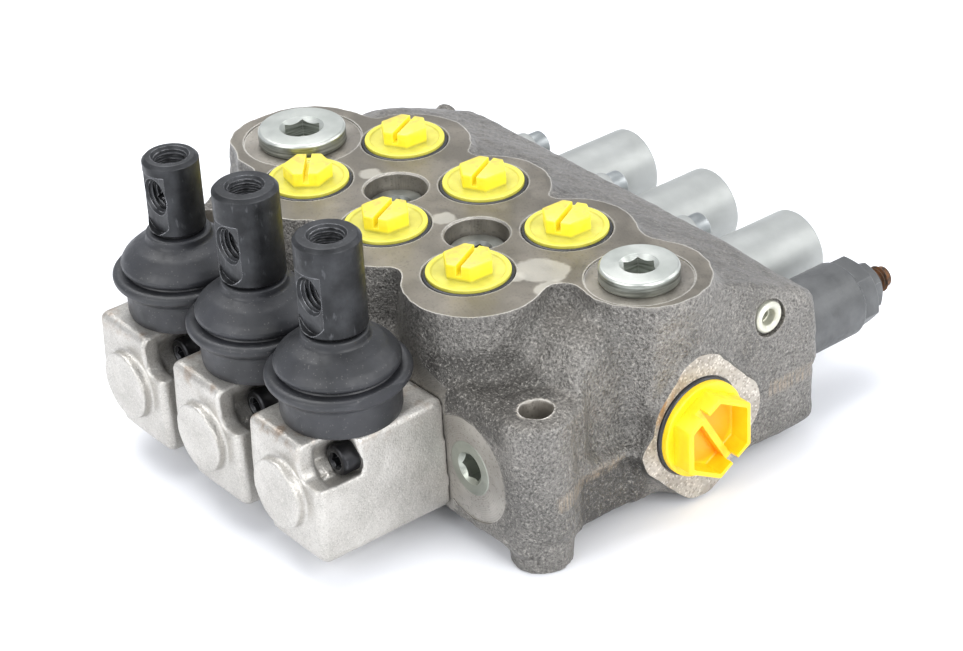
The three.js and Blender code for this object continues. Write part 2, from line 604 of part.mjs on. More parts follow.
// ---------------------------------------------------------------- assembly
add('valve_body', buildBody(), castIron);
SECTIONS.forEach((section, i) => {
  const x = section * PITCH;
  const n = i + 1;
  add(`port_plug_a${n}`, portPlug(x, -PORT_ROW, n === 1 ? FIRST_PLUG_TURN : PLUG_TURN), yellowPlastic);
  add(`port_plug_b${n}`, portPlug(x, PORT_ROW, PLUG_TURN), yellowPlastic);
  add(`lever_box_${n}`, leverBox(x), aluminium);
  add(`box_screw_${n}_upper`, boxScrew(x, 1), blackSteel);
  add(`box_screw_${n}_lower`, boxScrew(x, -1), blackSteel);
  add(`ball_seat_${n}`, ballSeat(x), brightSteel);
  add(`boot_${n}`, boot(x), rubber);
  add(`lever_${n}`, lever(x, i), blackSteel);
  add(`spool_${n}`, spool(x), brightSteel);
  add(`centring_spring_${n}`, coil(6.4, 1.1, 70.6, 95, 5, { axis: 'y', at: [x, 0, SPOOL_Z] }), springSteel);
  add(`spring_cap_${n}`, springCap(x), zinc);
  add(`cap_screw_${n}_upper`, springCapScrew(x, 1), zinc);
  add(`cap_screw_${n}_lower`, springCapScrew(x, -1), zinc);
});

for (const [name, plug] of Object.entries(COLLAR_PLUGS)) add(name, collarPlug(plug), zinc);
CHECKS.forEach((x, i) => {
  add(`check_plug_${i + 1}`, checkPlug(x), zinc);
  add(`check_poppet_${i + 1}`, checkPoppet(x), brightSteel);
  add(`check_spring_${i + 1}`, coil(3.2, 0.5, -26.6, -11.9, 5, { at: [x, CHECK_Y, 0] }), springSteel);
});
add('inlet_plug', inletPlug(), inletPlastic);
const sealPlace = { axis: 'x', at: [0, INLET.y, INLET.z] };
add('inlet_plug_seal', tube(9.9, 14.3, INLET.face - 0.6, INLET.face + 0.1, sealPlace), rubber);
add('gallery_plug', galleryPlug(), zinc);
const galleryPlace = { axis: 'y', at: [GALLERY.x, 0, GALLERY.z] };
add('gallery_plug_seal', tube(8.4, 8.9, FRONT_Y + 0.1, FRONT_Y + 1.4, galleryPlace), rubber);
const gaugePlace = { axis: 'x', at: [0, GAUGE.y, GAUGE.z] };
const gaugePlug = rod(GAUGE.r, RIGHT_X - 4.8, RIGHT_X + 0.4, gaugePlace);
const gaugeKey = pulled(hexagon(4), RIGHT_X - 2.5, RIGHT_X + 1, gaugePlace);
add('gauge_port_plug', gaugePlug.subtract(gaugeKey), whitePlated);
reliefPieces();

const box = new THREE.Box3().setFromObject(valve);
valve.position.set(-(box.min.x + box.max.x) / 2, -(box.min.y + box.max.y) / 2, -box.min.z);

export default valve;
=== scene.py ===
import math

import bmesh
import bpy
import numpy as np
from mathutils import Matrix, Vector


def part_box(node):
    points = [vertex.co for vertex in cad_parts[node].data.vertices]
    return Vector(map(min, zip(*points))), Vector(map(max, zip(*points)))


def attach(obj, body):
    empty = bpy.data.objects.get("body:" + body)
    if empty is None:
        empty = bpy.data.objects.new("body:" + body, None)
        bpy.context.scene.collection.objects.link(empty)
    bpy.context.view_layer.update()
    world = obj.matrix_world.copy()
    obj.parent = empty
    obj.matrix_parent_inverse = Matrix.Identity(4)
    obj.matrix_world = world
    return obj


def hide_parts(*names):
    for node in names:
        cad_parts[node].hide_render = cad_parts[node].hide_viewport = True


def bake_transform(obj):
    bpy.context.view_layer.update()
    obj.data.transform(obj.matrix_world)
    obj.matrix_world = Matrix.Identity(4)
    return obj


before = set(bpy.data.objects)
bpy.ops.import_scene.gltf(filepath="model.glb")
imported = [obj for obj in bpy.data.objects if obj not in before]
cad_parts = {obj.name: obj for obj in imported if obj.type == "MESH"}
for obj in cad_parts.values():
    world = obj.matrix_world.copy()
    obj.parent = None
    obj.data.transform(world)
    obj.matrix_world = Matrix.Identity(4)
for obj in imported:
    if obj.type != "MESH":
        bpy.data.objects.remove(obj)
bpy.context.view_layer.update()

# Shapes are drawn in millimetres in the valve's casting frame: X along the row of spools,
# Y along each spool towards its spring cap, Z = 0 on the machined port face.
MM = 0.001
CELL = 0.8


def centre(node):
    low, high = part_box(node)
    return (low + high) / 2


ORIGIN = Vector((
    centre("port_plug_a2").x,
    (centre("port_plug_a2").y + centre("port_plug_b2").y) / 2,
    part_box("valve_body")[1].z,
))


def in_casting(point):
    """A point of the frame, in millimetres in the casting frame."""
    return (Vector(point) - ORIGIN) / MM


def in_frame(point):
    """A point of the casting frame, in metres in the row's frame."""
    return ORIGIN + Vector(point) * MM


# ---------------------------------------------------------------- sizes, in millimetres
PITCH = (centre("port_plug_a3").x - centre("port_plug_a2").x) / MM
SPOOL_X = [-PITCH, 0, PITCH]
PORT_ROW = in_casting(centre("port_plug_b2")).y
SPOOL_Z = in_casting(centre("spool_2")).z
LEVER_Y = in_casting(centre("lever_2")).y
FRONT_Y = -39.5
BACK_Y = 67
LEFT_X = -79
RIGHT_X = 84
SHELF_Z = -18
BASE_Z = -59.5
FOOT_Z = in_casting(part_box("valve_body")[0]).z
PARTING_Z = -41.5
EARS = [(77.9, -29.8, -18, 9.8), (-69.5, -30.3, -21, 8), (-69.5, 54.5, -21, 8)]
EAR_HOLE_R = 4.3
FEET = [(77.9, -29.8), (-69.5, -30.3), (-69.5, 54.5), (58, 48)]
FOOT_R = 8.5
PLUG_FLANGE_R = 11.5
PORT_FACE_R = 12.5
COLLAR_PLUGS = {
    "carry_over_port_plug": dict(x=69.1, y=13.8, collar=10.9, spot=14.7, key=8),
    "tank_port_plug": dict(x=-57.5, y=-3.6, collar=12.7, spot=17.1, key=10),
}
CHECKS = [(-14.9, -2.3), (21.1, -2.3)]
CHECK_R = 8.9
INLET = dict(y=17.4, z=-39.5, face=87, spot=14.5, flange=13.7)
GAUGE = dict(y=46.5, z=-19.5, r=4.6)
GALLERY = dict(x=61.3, z=-39.6, r=8.2, face=15.5)
RELIEF = dict(x=66, z=-39.5)
TURNING_PITCH = 0.35

# Patches of the port face that are rubbed bright: centre and radius.
RUBBED = [(49, -2.5, 7), (57, -6.5, 4), (8.5, -3.5, 3.5), (-27, -2, 3), (46.4, -10, 3)]

# Parts of the casting painted darker: the ledge in front, partly its own dark finish and partly painted
# shade, and the wall set back beside the ear, painted shadow.
DARK_AND_SHADED_PARTS = [((46, -42, -24), (76, -22, -12)), ((70, -19, -66), (90, 1, -43.5))]

# Where the parting line is ground back on the right wall, from y to y.
GROUND_STREAKS = [(-31, -6), (47, 62)]

# Lobes of the port face: centre, radius, and fillet to the next lobe, anticlockwise.
LOBES = [
    (68.7, 16, 18.4, 8),
    (PITCH + 2, PORT_ROW, 17.9, 3.6),
    (2, PORT_ROW, 17.9, 3.6),
    (2 - PITCH, PORT_ROW, 17.9, 4),
    (-57.5, -3.6, 21.3, 4),
    (4 - PITCH, -18.5, 19.8, 4),
    (4, -18.5, 19.8, 4),
    (PITCH + 4, -18.5, 19.8, 5),
]


# ---------------------------------------------------------------- meshes
def turn_to(points, axis):
    """Points drawn about +Z, turned so that their Z lies along the named axis."""
    x, y, z = np.asarray(points, float).T
    if axis == "x":
        return np.column_stack([z, y, -x])
    if axis == "y":
        return np.column_stack([x, z, -y])
    return np.column_stack([x, y, z])


def piece(name, points, faces, axis="z", at=(0, 0, 0)):
    """A mesh object from millimetre points in the casting frame."""
    place = turn_to(points, axis) + np.array(at, float)
    mesh = bpy.data.meshes.new(name)
    mesh.from_pydata((place * MM + np.array(ORIGIN)).tolist(), [], faces)
    mesh.update()
    shown = bpy.data.objects.new(name, mesh)
    bpy.context.scene.collection.objects.link(shown)
    return shown


def rounded(profile, radius=0.4, steps=4):
    """A polyline with each inner corner swapped for a small arc-like curve."""
    points = [np.array(p, float) for p in profile]
    out = [points[0]]
    for before, here, after in zip(points, points[1:], points[2:]):
        back = before - here
        on = after - here
        reach = min(radius, np.linalg.norm(back) * 0.45, np.linalg.norm(on) * 0.45)
        start = here + back / np.linalg.norm(back) * reach
        end = here + on / np.linalg.norm(on) * reach
        for t in np.linspace(0, 1, steps + 1):
            out.append((1 - t) ** 2 * start + 2 * t * (1 - t) * here + t * t * end)
    out.append(points[-1])
    return out


def lathe(name, profile, axis="z", at=(0, 0, 0), segments=96):
    """A turned solid. The profile lists (radius, height); it starts and ends on the axis, or closes."""
    loop = np.linalg.norm(np.subtract(profile[0], profile[-1])) < 1e-6
    rows = profile[:-1] if loop else profile
    angles = np.linspace(0, 2 * math.pi, segments, endpoint=False)
    points = []
    rings = []
    for r, h in rows:
        if r < 1e-6:
            rings.append([len(points)])
            points.append((0, 0, h))
            continue
        rings.append(list(range(len(points), len(points) + segments)))
        points.extend(zip(r * np.cos(angles), r * np.sin(angles), [h] * segments))
    pairs = list(zip(rings, rings[1:])) + ([(rings[-1], rings[0])] if loop else [])
    faces = []
    for low, high in pairs:
        for i in range(segments):
            j = (i + 1) % segments
            if len(low) == 1:
                faces.append((low[0], high[j], high[i]))
            elif len(high) == 1:
                faces.append((low[i], low[j], high[0]))
            else:
                faces.append((low[i], low[j], high[j], high[i]))
    return outward(piece(name, points, faces, axis, at))


def outward(shown):
    """Turns every face to point out."""
    work = bmesh.new()
    work.from_mesh(shown.data)
    bmesh.ops.recalc_face_normals(work, faces=work.faces)
    if work.calc_volume(signed=True) < 0:
        bmesh.ops.reverse_faces(work, faces=work.faces)
    work.to_mesh(shown.data)
    work.free()
    return shown


def rod(radius, low, high, axis="z", at=(0, 0, 0), segments=96):
    return lathe("rod", [(0, low), (radius, low), (radius, high), (0, high)], axis, at, segments)


def prism(outline, low, high, axis="z", at=(0, 0, 0)):
    """A flat outline pulled along an axis."""
    count = len(outline)
    points = [(x, y, h) for h in (low, high) for x, y in outline]
    faces = [tuple(reversed(range(count))), tuple(range(count, 2 * count))]
    faces += [(i, (i + 1) % count, count + (i + 1) % count, count + i) for i in range(count)]
    return outward(piece("prism", points, faces, axis, at))


def box(low, high):
    outline = [(low[0], low[1]), (high[0], low[1]), (high[0], high[1]), (low[0], high[1])]
    return prism(outline, low[2], high[2])


def bar(length, width, turn=0.0):
    """The outline of a straight bar through the centre."""
    along = np.array([math.cos(turn), math.sin(turn)]) * length / 2
    side = np.array([-math.sin(turn), math.cos(turn)]) * width / 2
    return [tuple(p) for p in (-along - side, along - side, along + side, side - along)]


def hexagon(across, turn=0.0):
    corner = across / math.sqrt(3)
    angles = turn + np.arange(6) * math.pi / 3
    return list(zip(corner * np.cos(angles), corner * np.sin(angles)))


def bake(shown):
    """Applies the modifiers."""
    graph = bpy.context.evaluated_depsgraph_get()
    mesh = bpy.data.meshes.new_from_object(shown.evaluated_get(graph))
    mesh.materials.clear()
    shown.modifiers.clear()
    old = shown.data
    shown.data = mesh
    bpy.data.meshes.remove(old)
    return shown


def combine(shown, others, operation="DIFFERENCE", solver="MANIFOLD"):
    """Cuts or joins other solids, which are used up."""
    for other in others:
        change = shown.modifiers.new("combine", "BOOLEAN")
        change.operation = operation
        change.solver = solver
        change.object = other
        bake(shown)
        bpy.data.objects.remove(other)
    return shown


def bevel(shown, width, segments=3, angle=30):
    change = shown.modifiers.new("bevel", "BEVEL")
    change.width = width * MM
    change.segments = segments
    change.limit_method = "ANGLE"
    change.angle_limit = math.radians(angle)
    return bake(shown)


def smooth(shown, angle=32):
    """Smooth shading, with edges sharper than the angle left crisp."""
    shown.data.shade_smooth()
    shown.data.set_sharp_from_angle(angle=math.radians(angle))
    return shown


# ---------------------------------------------------------------- shapes by distance
def blend_min(a, b, k):
    h = np.clip(0.5 + 0.5 * (b - a) / k, 0, 1)
    return b * (1 - h) + a * h - k * h * (1 - h)


def blend_max(a, b, k):
    return -blend_min(-a, -b, k)


def step(low, high, value):
    t = np.clip((value - low) / (high - low), 0, 1)
    return t * t * (3 - 2 * t)


def near_box(x, y, z, low, high, r=0.0):
    """Distance to a box with rounded edges."""
    parts = []
    for value, a, b in zip((x, y, z), low, high):
        parts.append(np.abs(value - (a + b) / 2) - (b - a) / 2 + r)
    out = np.sqrt(sum(np.maximum(p, 0) ** 2 for p in parts))
    inside = np.minimum(np.maximum(np.maximum(parts[0], parts[1]), parts[2]), 0)
    return out + inside - r


def near_rod(u, v, w, radius, low, high, r=0.0):
    """Distance to a cylinder whose axis runs along w through u = v = 0."""
    side = np.sqrt(u * u + v * v) - radius + r
    ends = np.abs(w - (low + high) / 2) - (high - low) / 2 + r
    out = np.sqrt(np.maximum(side, 0) ** 2 + np.maximum(ends, 0) ** 2)
    return out + np.minimum(np.maximum(side, ends), 0) - r


def lumps(x, y, z, size, seed):
    """Smooth random lumps between -1 and 1, about size millimetres wide."""
    cells = 32
    values = np.random.RandomState(seed).uniform(-1, 1, (cells, cells, cells)).astype(np.float32)
    whole = []
    part = []
    for value in (x, y, z):
        q = value / size + 500
        base = np.floor(q)
        t = (q - base).astype(np.float32)
        whole.append(base.astype(int) % cells)
        part.append(t * t * (3 - 2 * t))
    total = 0
    for i in (0, 1):
        for j in (0, 1):
            for k in (0, 1):
                weight = (part[0] if i else 1 - part[0]) * (part[1] if j else 1 - part[1])
                weight = weight * (part[2] if k else 1 - part[2])
                corner = [(w + s) % cells for w, s in zip(whole, (i, j, k))]
                total = total + weight * values[corner[0], corner[1], corner[2]]
    return total


def surface(name, distance, low, high, cell):
    """A mesh of quads on the zero level of distance(x, y, z), by surface nets."""
    axes = [np.arange(a, b + cell, cell, dtype=np.float32) for a, b in zip(low, high)]
    grid = np.meshgrid(*axes, indexing="ij")
    field = distance(*grid).astype(np.float32)
    inside = field < 0
    count = [n - 1 for n in field.shape]
    tally = np.zeros(count, np.int8)
    corners = [(i, j, k) for i in (0, 1) for j in (0, 1) for k in (0, 1)]

    def shifted(array, s):
        return array[s[0]:s[0] + count[0], s[1]:s[1] + count[1], s[2]:s[2] + count[2]]

    for s in corners:
        tally += shifted(inside, s)
    where = np.argwhere((tally > 0) & (tally < 8))
    label = -np.ones(count, int)
    label[tuple(where.T)] = np.arange(len(where))
    value = {s: field[tuple((where + s).T)] for s in corners}
    total = np.zeros((len(where), 3))
    hits = np.zeros(len(where))
    for s in corners:
        for axis in range(3):
            if s[axis]:
                continue
            e = list(s)
            e[axis] = 1
            a = value[s]
            b = value[tuple(e)]
            crossing = (a < 0) != (b < 0)
            share = np.where(crossing, a / np.where(a == b, 1, a - b), 0)
            spot = np.tile(np.array(s, float), (len(where), 1))
            spot[:, axis] = share
            total += spot * crossing[:, None]
            hits += crossing
    points = (where + total / hits[:, None]) * cell + np.array([a[0] for a in axes])
    faces = []
    for axis in range(3):
        u, v = [(1, 2), (2, 0), (0, 1)][axis]
        first = np.take(inside, range(inside.shape[axis] - 1), axis)
        second = np.take(inside, range(1, inside.shape[axis]), axis)
        edge = np.argwhere(first != second)
        keep = (edge[:, u] > 0) & (edge[:, v] > 0)
        keep &= (edge[:, u] < count[u]) & (edge[:, v] < count[v])
        edge = edge[keep]
        quad = []
        for du, dv in ((1, 1), (0, 1), (0, 0), (1, 0)):
            cell_at = edge.copy()
            cell_at[:, u] -= du
            cell_at[:, v] -= dv
            quad.append(label[tuple(cell_at.T)])
        quad = np.stack(quad, 1)
        flip = ~first[tuple(edge.T)]
        quad[flip] = quad[flip][:, ::-1]
        faces.append(quad)
    return piece(name, points, np.concatenate(faces).tolist())


# ---------------------------------------------------------------- the port face's outline
def lobed_outline(lobes, steps=12):
    """Points round a ring of lobes, with a hollow fillet between neighbours."""
    fillets = []
    for (x, y, r, f), (x2, y2, r2, _) in zip(lobes, lobes[1:] + lobes[:1]):
        reach = r + f
        span = math.hypot(x2 - x, y2 - y)
        along = (span ** 2 + reach ** 2 - (r2 + f) ** 2) / (2 * span)
        out = math.sqrt(reach ** 2 - along ** 2)
        ux, uy = (x2 - x) / span, (y2 - y) / span
        fillets.append((x + ux * along + uy * out, y + uy * along - ux * out))
    points = []

    def sweep(centre_at, r, start, end, clockwise):
        a = math.atan2(start[1] - centre_at[1], start[0] - centre_at[0])
        b = math.atan2(end[1] - centre_at[1], end[0] - centre_at[0])
        turn = (b - a) % (2 * math.pi) - (2 * math.pi if clockwise else 0)
        for t in np.linspace(0, 1, steps, endpoint=False):
            angle = a + turn * t
            points.append((centre_at[0] + r * math.cos(angle), centre_at[1] + r * math.sin(angle)))

    for i, (x, y, r, f) in enumerate(lobes):
        following = lobes[(i + 1) % len(lobes)]
        sweep((x, y), r, fillets[i - 1], fillets[i], False)
        sweep(fillets[i], f, (x, y), following[:2], True)
    return np.array(points)


def distance_to_outline(x, y, outline):
    """Signed distance in the plane, negative inside a closed outline."""
    best = np.full(x.shape, 1e9)
    inside = np.zeros(x.shape, bool)
    for (ax, ay), (bx, by) in zip(outline, np.roll(outline, -1, axis=0)):
        ex, ey = bx - ax, by - ay
        t = np.clip(((x - ax) * ex + (y - ay) * ey) / (ex * ex + ey * ey), 0, 1)
        best = np.minimum(best, np.hypot(x - ax - t * ex, y - ay - t * ey))
        crosses = (ay > y) != (by > y)
        if ey:
            inside ^= crosses & (x < (y - ay) / ey * ex + ax)
    return np.where(inside, -best, best)


# ---------------------------------------------------------------- the cast body
INLET_BOSS = dict(y=19, z=-41, half=18.2, r=10.2)


def roof_height(x, y):
    """The top of the casting outside the machined face, before the walls are blended on."""
    ridge = -1.6 - 0.5 * step(20, 80, x)
    fall = np.interp(y, [-60, 28, 34, 46, 58, 60.5, 63, 68], [0, 0, -1.5, -6, -11, -13, -18.5, -40])
    side = step(-48, -76, x)
    return ridge + fall - 7.5 * side * side - 2.5 * step(50, 84, x) * step(10, 60, y)


def inlet_diamond(y, z):
    """Distance, along the right wall, to the rounded diamond of the inlet's boss."""
    across = y - INLET_BOSS["y"]
    down = z - INLET_BOSS["z"]
    r = INLET_BOSS["r"]
    sides = [np.abs(across + s * down) / math.sqrt(2) - INLET_BOSS["half"] + r for s in (-1, 1)]
    out = np.hypot(np.maximum(sides[0], 0), np.maximum(sides[1], 0))
    return out + np.minimum(np.maximum(sides[0], sides[1]), 0) - r


def body_distance(x, y, z):
    """Signed distance to the rough casting, before it is machined."""
    rough = 0.22 * lumps(x, y, z, 2.6, 1) + 0.12 * lumps(x, y, z, 1.3, 2) + 0.35 * lumps(x, y, z, 17, 3)
    flat_x, flat_y = x[:, :, 0], y[:, :, 0]
    plan = distance_to_outline(flat_x, flat_y, lobed_outline(LOBES))[:, :, None]

    below = step(PARTING_Z + 0.6, PARTING_Z - 0.6, z)
    inset = 0.7 * below
    base = near_box(x, y, z, (LEFT_X, FRONT_Y - 1, BASE_Z), (RIGHT_X, 64.8, SHELF_Z), 3.5) + inset
    tower = blend_max(plan - 0.11 * (-z) + 0.2, np.maximum(z - 3, -30 - z), 2.5)
    tower = blend_max(tower, LEFT_X + 0.6 - x, 2)
    tower = blend_max(tower, x - 84.7 - 3.1 * step(-9, 0, z), 2)
    body = blend_min(base, tower, 4.5)

    # The roof behind the port face, and the wall on its right.
    roof = z - roof_height(x, y)
    back = near_box(x, y, z, (-70, 8, -60), (RIGHT_X - 0.8, 65.2, 30), 4)
    wedge = blend_max(back + 0.5 * inset, roof, 3)
    body = blend_min(body, wedge, 4)

    # The wall that climbs from the front right ear to the port face.
    corner = near_box(x, y, z, (46, -24, -60), (80, 16, -6), 9)
    lean = (y + 24.5) * -0.62 + (z + 18) * 0.55 + (x - 57) * 0.12
    body = blend_min(body, blend_max(corner, lean, 4), 4)

    # The boss of the inlet, which swells out of the right wall.
    boss = blend_max(inlet_diamond(y, z), np.maximum(x - INLET["face"] - 1.5, 60 - x), 0.8)
    swell = near_rod(x - 68.7, y - 15, z, 15.0, -40, -3, 3)
    body = blend_min(body, swell + inset, 5)
    body = blend_min(body, boss, 3.5)

    # Ears, feet, and the pocket between the front ear and the inlet boss.
    pocket = near_box(x, y, z, (79, -17.5, -39), (96, 2.5, 4), 6)
    body = blend_max(body, -pocket, 3.5)
    set_back = near_box(x, y, z, (81.6, -19, -80), (96, -2.4, PARTING_Z - 1), 1.5)
    body = blend_max(body, -set_back, 2)
    for ear_x, ear_y, top, r in EARS:
        clear = near_rod(x - ear_x, y - ear_y, z, r + 1.5, top - 0.2, 12, 2)
        body = blend_max(body, -clear, 2.5)
        ear = near_rod(x - ear_x, y - ear_y, z, r, PARTING_Z - 12, top, 1.6)
        body = blend_min(body, ear, 2.2)
    for foot_x, foot_y in FEET:
        foot = near_rod(x - foot_x, y - foot_y, z, FOOT_R, FOOT_Z, PARTING_Z, 0.8)
        body = blend_min(body, foot, 2)
    return body + rough


def machining():
    """The solids that the machined faces, seats and holes are cut with."""
    cuts = [box((-99, -60, 0), (110, 90, 12))]
    cuts.append(box((-99, -60, -80), (53.5, FRONT_Y, 10)))
    cuts.append(box((-99, BACK_Y, -80), (110, 90, 10)))
    cuts.append(box((-99, -60, -80), (110, 90, FOOT_Z)))
    cuts.append(rod(GALLERY["face"], -12, 0.1, "y", (GALLERY["x"], FRONT_Y - 0.1, GALLERY["z"])))
    cuts.append(box((INLET["face"], -10, -70), (110, 50, -10)))
    for x in SPOOL_X:
        for side in (-1, 1):
            seat = [(0, -15), (7.9, -15), (7.9, -2), (PORT_FACE_R - 0.4, -2), (PORT_FACE_R, -1.7)]
            seat += [(PORT_FACE_R, -0.3), (PORT_FACE_R + 0.35, 0.1), (PORT_FACE_R + 0.35, 4), (0, 4)]
            cuts.append(lathe("seat", seat, "z", (x, side * PORT_ROW, 0)))
        cuts.append(rod(7.9, -40, 40, "y", (x, 14, SPOOL_Z)))
        cuts.append(rod(7.9, -12, 18, "y", (x, 55, SPOOL_Z)))
    for plug in COLLAR_PLUGS.values():
        cuts.append(rod(plug["spot"], -0.5, 4, "z", (plug["x"], plug["y"], 0)))
        cuts.append(rod(plug["collar"] - 2.5, -14, 0, "z", (plug["x"], plug["y"], 0)))
    for x, y in CHECKS:
        cuts.append(lathe("recess", [(0, -13), (7.4, -13), (CHECK_R, -11), (CHECK_R, -0.5),
                                     (CHECK_R + 0.5, 0.05), (CHECK_R + 0.5, 4), (0, 4)], "z", (x, y, 0)))
    cuts.append(rod(INLET["spot"], -0.5, 6, "x", (INLET["face"], INLET["y"], INLET["z"])))
    cuts.append(rod(9.8, -20, 6, "x", (INLET["face"], INLET["y"], INLET["z"])))
    cuts.append(rod(GALLERY["r"] - 1, -10, 20, "y", (GALLERY["x"], FRONT_Y, GALLERY["z"])))
    cuts.append(rod(9.7, -14, 14, "y", (RELIEF["x"], BACK_Y, RELIEF["z"])))
    cuts.append(rod(5.4, -1.2, 20, "x", (RIGHT_X, GAUGE["y"], GAUGE["z"])))
    cuts.append(rod(3.9, -12, 1, "x", (RIGHT_X, GAUGE["y"], GAUGE["z"])))
    for x, y, top, r in EARS:
        cuts.append(lathe("ear_hole", [(0, -70), (EAR_HOLE_R, -70), (EAR_HOLE_R, top - 0.5),
                                       (EAR_HOLE_R + 0.5, top + 0.5), (EAR_HOLE_R + 0.5, 5), (0, 5)],
                          "z", (x, y, 0), 48))
    return cuts


def mark_machined(shown):
    """Gives each machined face its own material slot."""
    mesh = shown.data
    normals = np.empty(len(mesh.polygons) * 3)
    mesh.polygons.foreach_get("normal", normals)
    normals = normals.reshape(-1, 3)
    middles = np.empty(len(mesh.polygons) * 3)
    mesh.polygons.foreach_get("center", middles)
    middles = (middles.reshape(-1, 3) - np.array(ORIGIN)) / MM
    nx, ny, nz = normals.T
    x, y, z = middles.T
    slot = np.zeros(len(normals), np.int32)
    slot[(nz > 0.999) & (np.abs(z) < 0.02)] = 1
    slot[(nz > 0.999) & (z < -0.3) & (z > -2.4)] = 2
    slot[(ny < -0.999) & (np.abs(y - FRONT_Y) < 0.06)] = 3
    slot[(ny < -0.999) & (np.abs(y - FRONT_Y + 0.1) < 0.3)] = 3
    slot[(ny > 0.999) & (np.abs(y - BACK_Y) < 0.03)] = 3
    slot[(nx > 0.999) & (np.abs(x - INLET["face"]) < 0.8) & (inlet_diamond(y, z) < 1)] = 4
    round_wall = np.zeros(len(normals), bool)
    holes = [(x0, s * PORT_ROW, PORT_FACE_R + 0.5) for x0 in SPOOL_X for s in (-1, 1)]
    holes += [(cx, cy, CHECK_R + 0.7) for cx, cy in CHECKS]
    holes += [(p["x"], p["y"], p["spot"] + 0.1) for p in COLLAR_PLUGS.values()]
    for hx, hy, r in holes:
        round_wall |= (np.hypot(x - hx, y - hy) < r) & (z < -0.02)
    slot[round_wall & (slot == 0)] = 2
    for hx, hy, top, r in EARS:
        slot[(np.hypot(x - hx, y - hy) < EAR_HOLE_R + 0.7) & (z < top + 1)] = 2
    mesh.polygons.foreach_set("material_index", slot)
    mesh.update()


def build_body():
    low = (LEFT_X - 3, -45, FOOT_Z - 2)
    high = (INLET["face"] + 4, 71, 5)
    body = surface("cast_body", body_distance, low, high, CELL)
    combine(body, machining())
    mark_machined(body)
    return body


# ---------------------------------------------------------------- plugs and seals
def thread(r_low, r_high, low, high, pitch):
    """A zigzag profile, as (radius, height) points."""
    points = []
    h = low
    while h + pitch <= high + 1e-6:
        points += [(r_low, h), (r_low, h + pitch * 0.12), (r_high, h + pitch * 0.5)]
        points.append((r_low, h + pitch * 0.94))
        h += pitch
    return points


def hex_socket(across, mouth, depth, axis, at, turn=0.0, flare=0.55):
    """Cutters for a hexagon socket that opens towards +axis at the height mouth."""
    corner = across / math.sqrt(3)
    key = prism(hexagon(across, turn), mouth - depth, mouth + 3, axis, at)
    cone = lathe("cone", [(0, mouth - 1.6), (corner - 1, mouth - 1.6), (corner + flare, mouth),
                          (corner + flare, mouth + 2), (0, mouth + 2)], axis, at, 48)
    drilled = lathe("drill", [(0, mouth - depth - across * 0.3), (across * 0.49, mouth - depth),
                              (across * 0.49, mouth - depth + 0.5), (0, mouth - depth + 0.5)], axis, at, 32)
    return [key, cone, drilled]


def port_plug(x, y, turn):
    """A moulded plug: a rimmed flange, and a hexagon head with a slot across it."""
    rim = PLUG_FLANGE_R
    profile = [(0, -1), (rim - 1, -1), (rim - 1, -0.2), (rim, -0.2), (rim, 1), (rim - 1.3, 1),
               (rim - 1.7, 0.55), (0, 0.55)]
    flange = lathe("port_plug", rounded(profile, 0.3), "z", (x, y, 0))
    head = bevel(prism(hexagon(12.3, turn), 0.3, 5.1, "z", (x, y, 0)), 0.45)
    combine(head, [prism(bar(18, 1.6, turn + math.pi / 2), 1.9, 8, "z", (x, y, 0))])
    return combine(flange, [head], "UNION")


def ring(radius, tube, height, axis="z", at=(0, 0, 0), squash=1.0):
    """A seal: a round ring about the axis."""
    angles = np.linspace(0, 2 * math.pi, 20, endpoint=False)
    profile = [(radius + tube * math.cos(a), height + squash * tube * math.sin(a)) for a in angles]
    return lathe("ring", profile + profile[:1], axis, at, 128)


def collar_plug(x, y, collar, key, **_):
    profile = [(0, -8), (collar - 3, -8), (collar - 3, -0.5), (collar - 0.5, -0.5), (collar, 0.1),
               (collar, 3.4), (collar - 0.6, 4.1), (0, 4.1)]
    plug = lathe("collar_plug", rounded(profile, 0.3), "z", (x, y, 0), 128)
    return combine(plug, hex_socket(key, 4.1, 6, "z", (x, y, 0), 0.4, 0.7))


def check_plug(x, y):
    profile = [(0, -12), (8.5, -12), (8.5, -5.6), (7.6, -4.6), (0, -4.6)]
    plug = lathe("check_plug", rounded(profile, 0.3), "z", (x, y, 0))
    return combine(plug, hex_socket(6, -4.6, 4, "z", (x, y, 0), 0.2))


def gallery_plug():
    at = (GALLERY["x"], FRONT_Y - 0.1, GALLERY["z"])
    r = GALLERY["r"]
    profile = [(0, 12), (6.2, 12), (6.2, 2.6), (r, 1), (r, 0.5), (r - 0.5, 0), (0, 0)]
    plug = lathe("gallery_plug", rounded(profile, 0.25), "y", at)
    sockets = hex_socket(7, 0, 6, "z", (0, 0, 0), 0.1, 0.7)
    for cutter in sockets:
        to_front(cutter, at)
    return combine(plug, sockets)


def to_front(shown, at, facing=-1):
    """Turns a shape drawn about +Z at the casting frame's origin to face -Y or +Y at a place."""
    shown.data.transform(Matrix.Translation(-ORIGIN))
    shown.data.transform(Matrix.Rotation(-facing * math.pi / 2, 4, "X"))
    shown.data.transform(Matrix.Translation(in_frame(at)))
    return shown


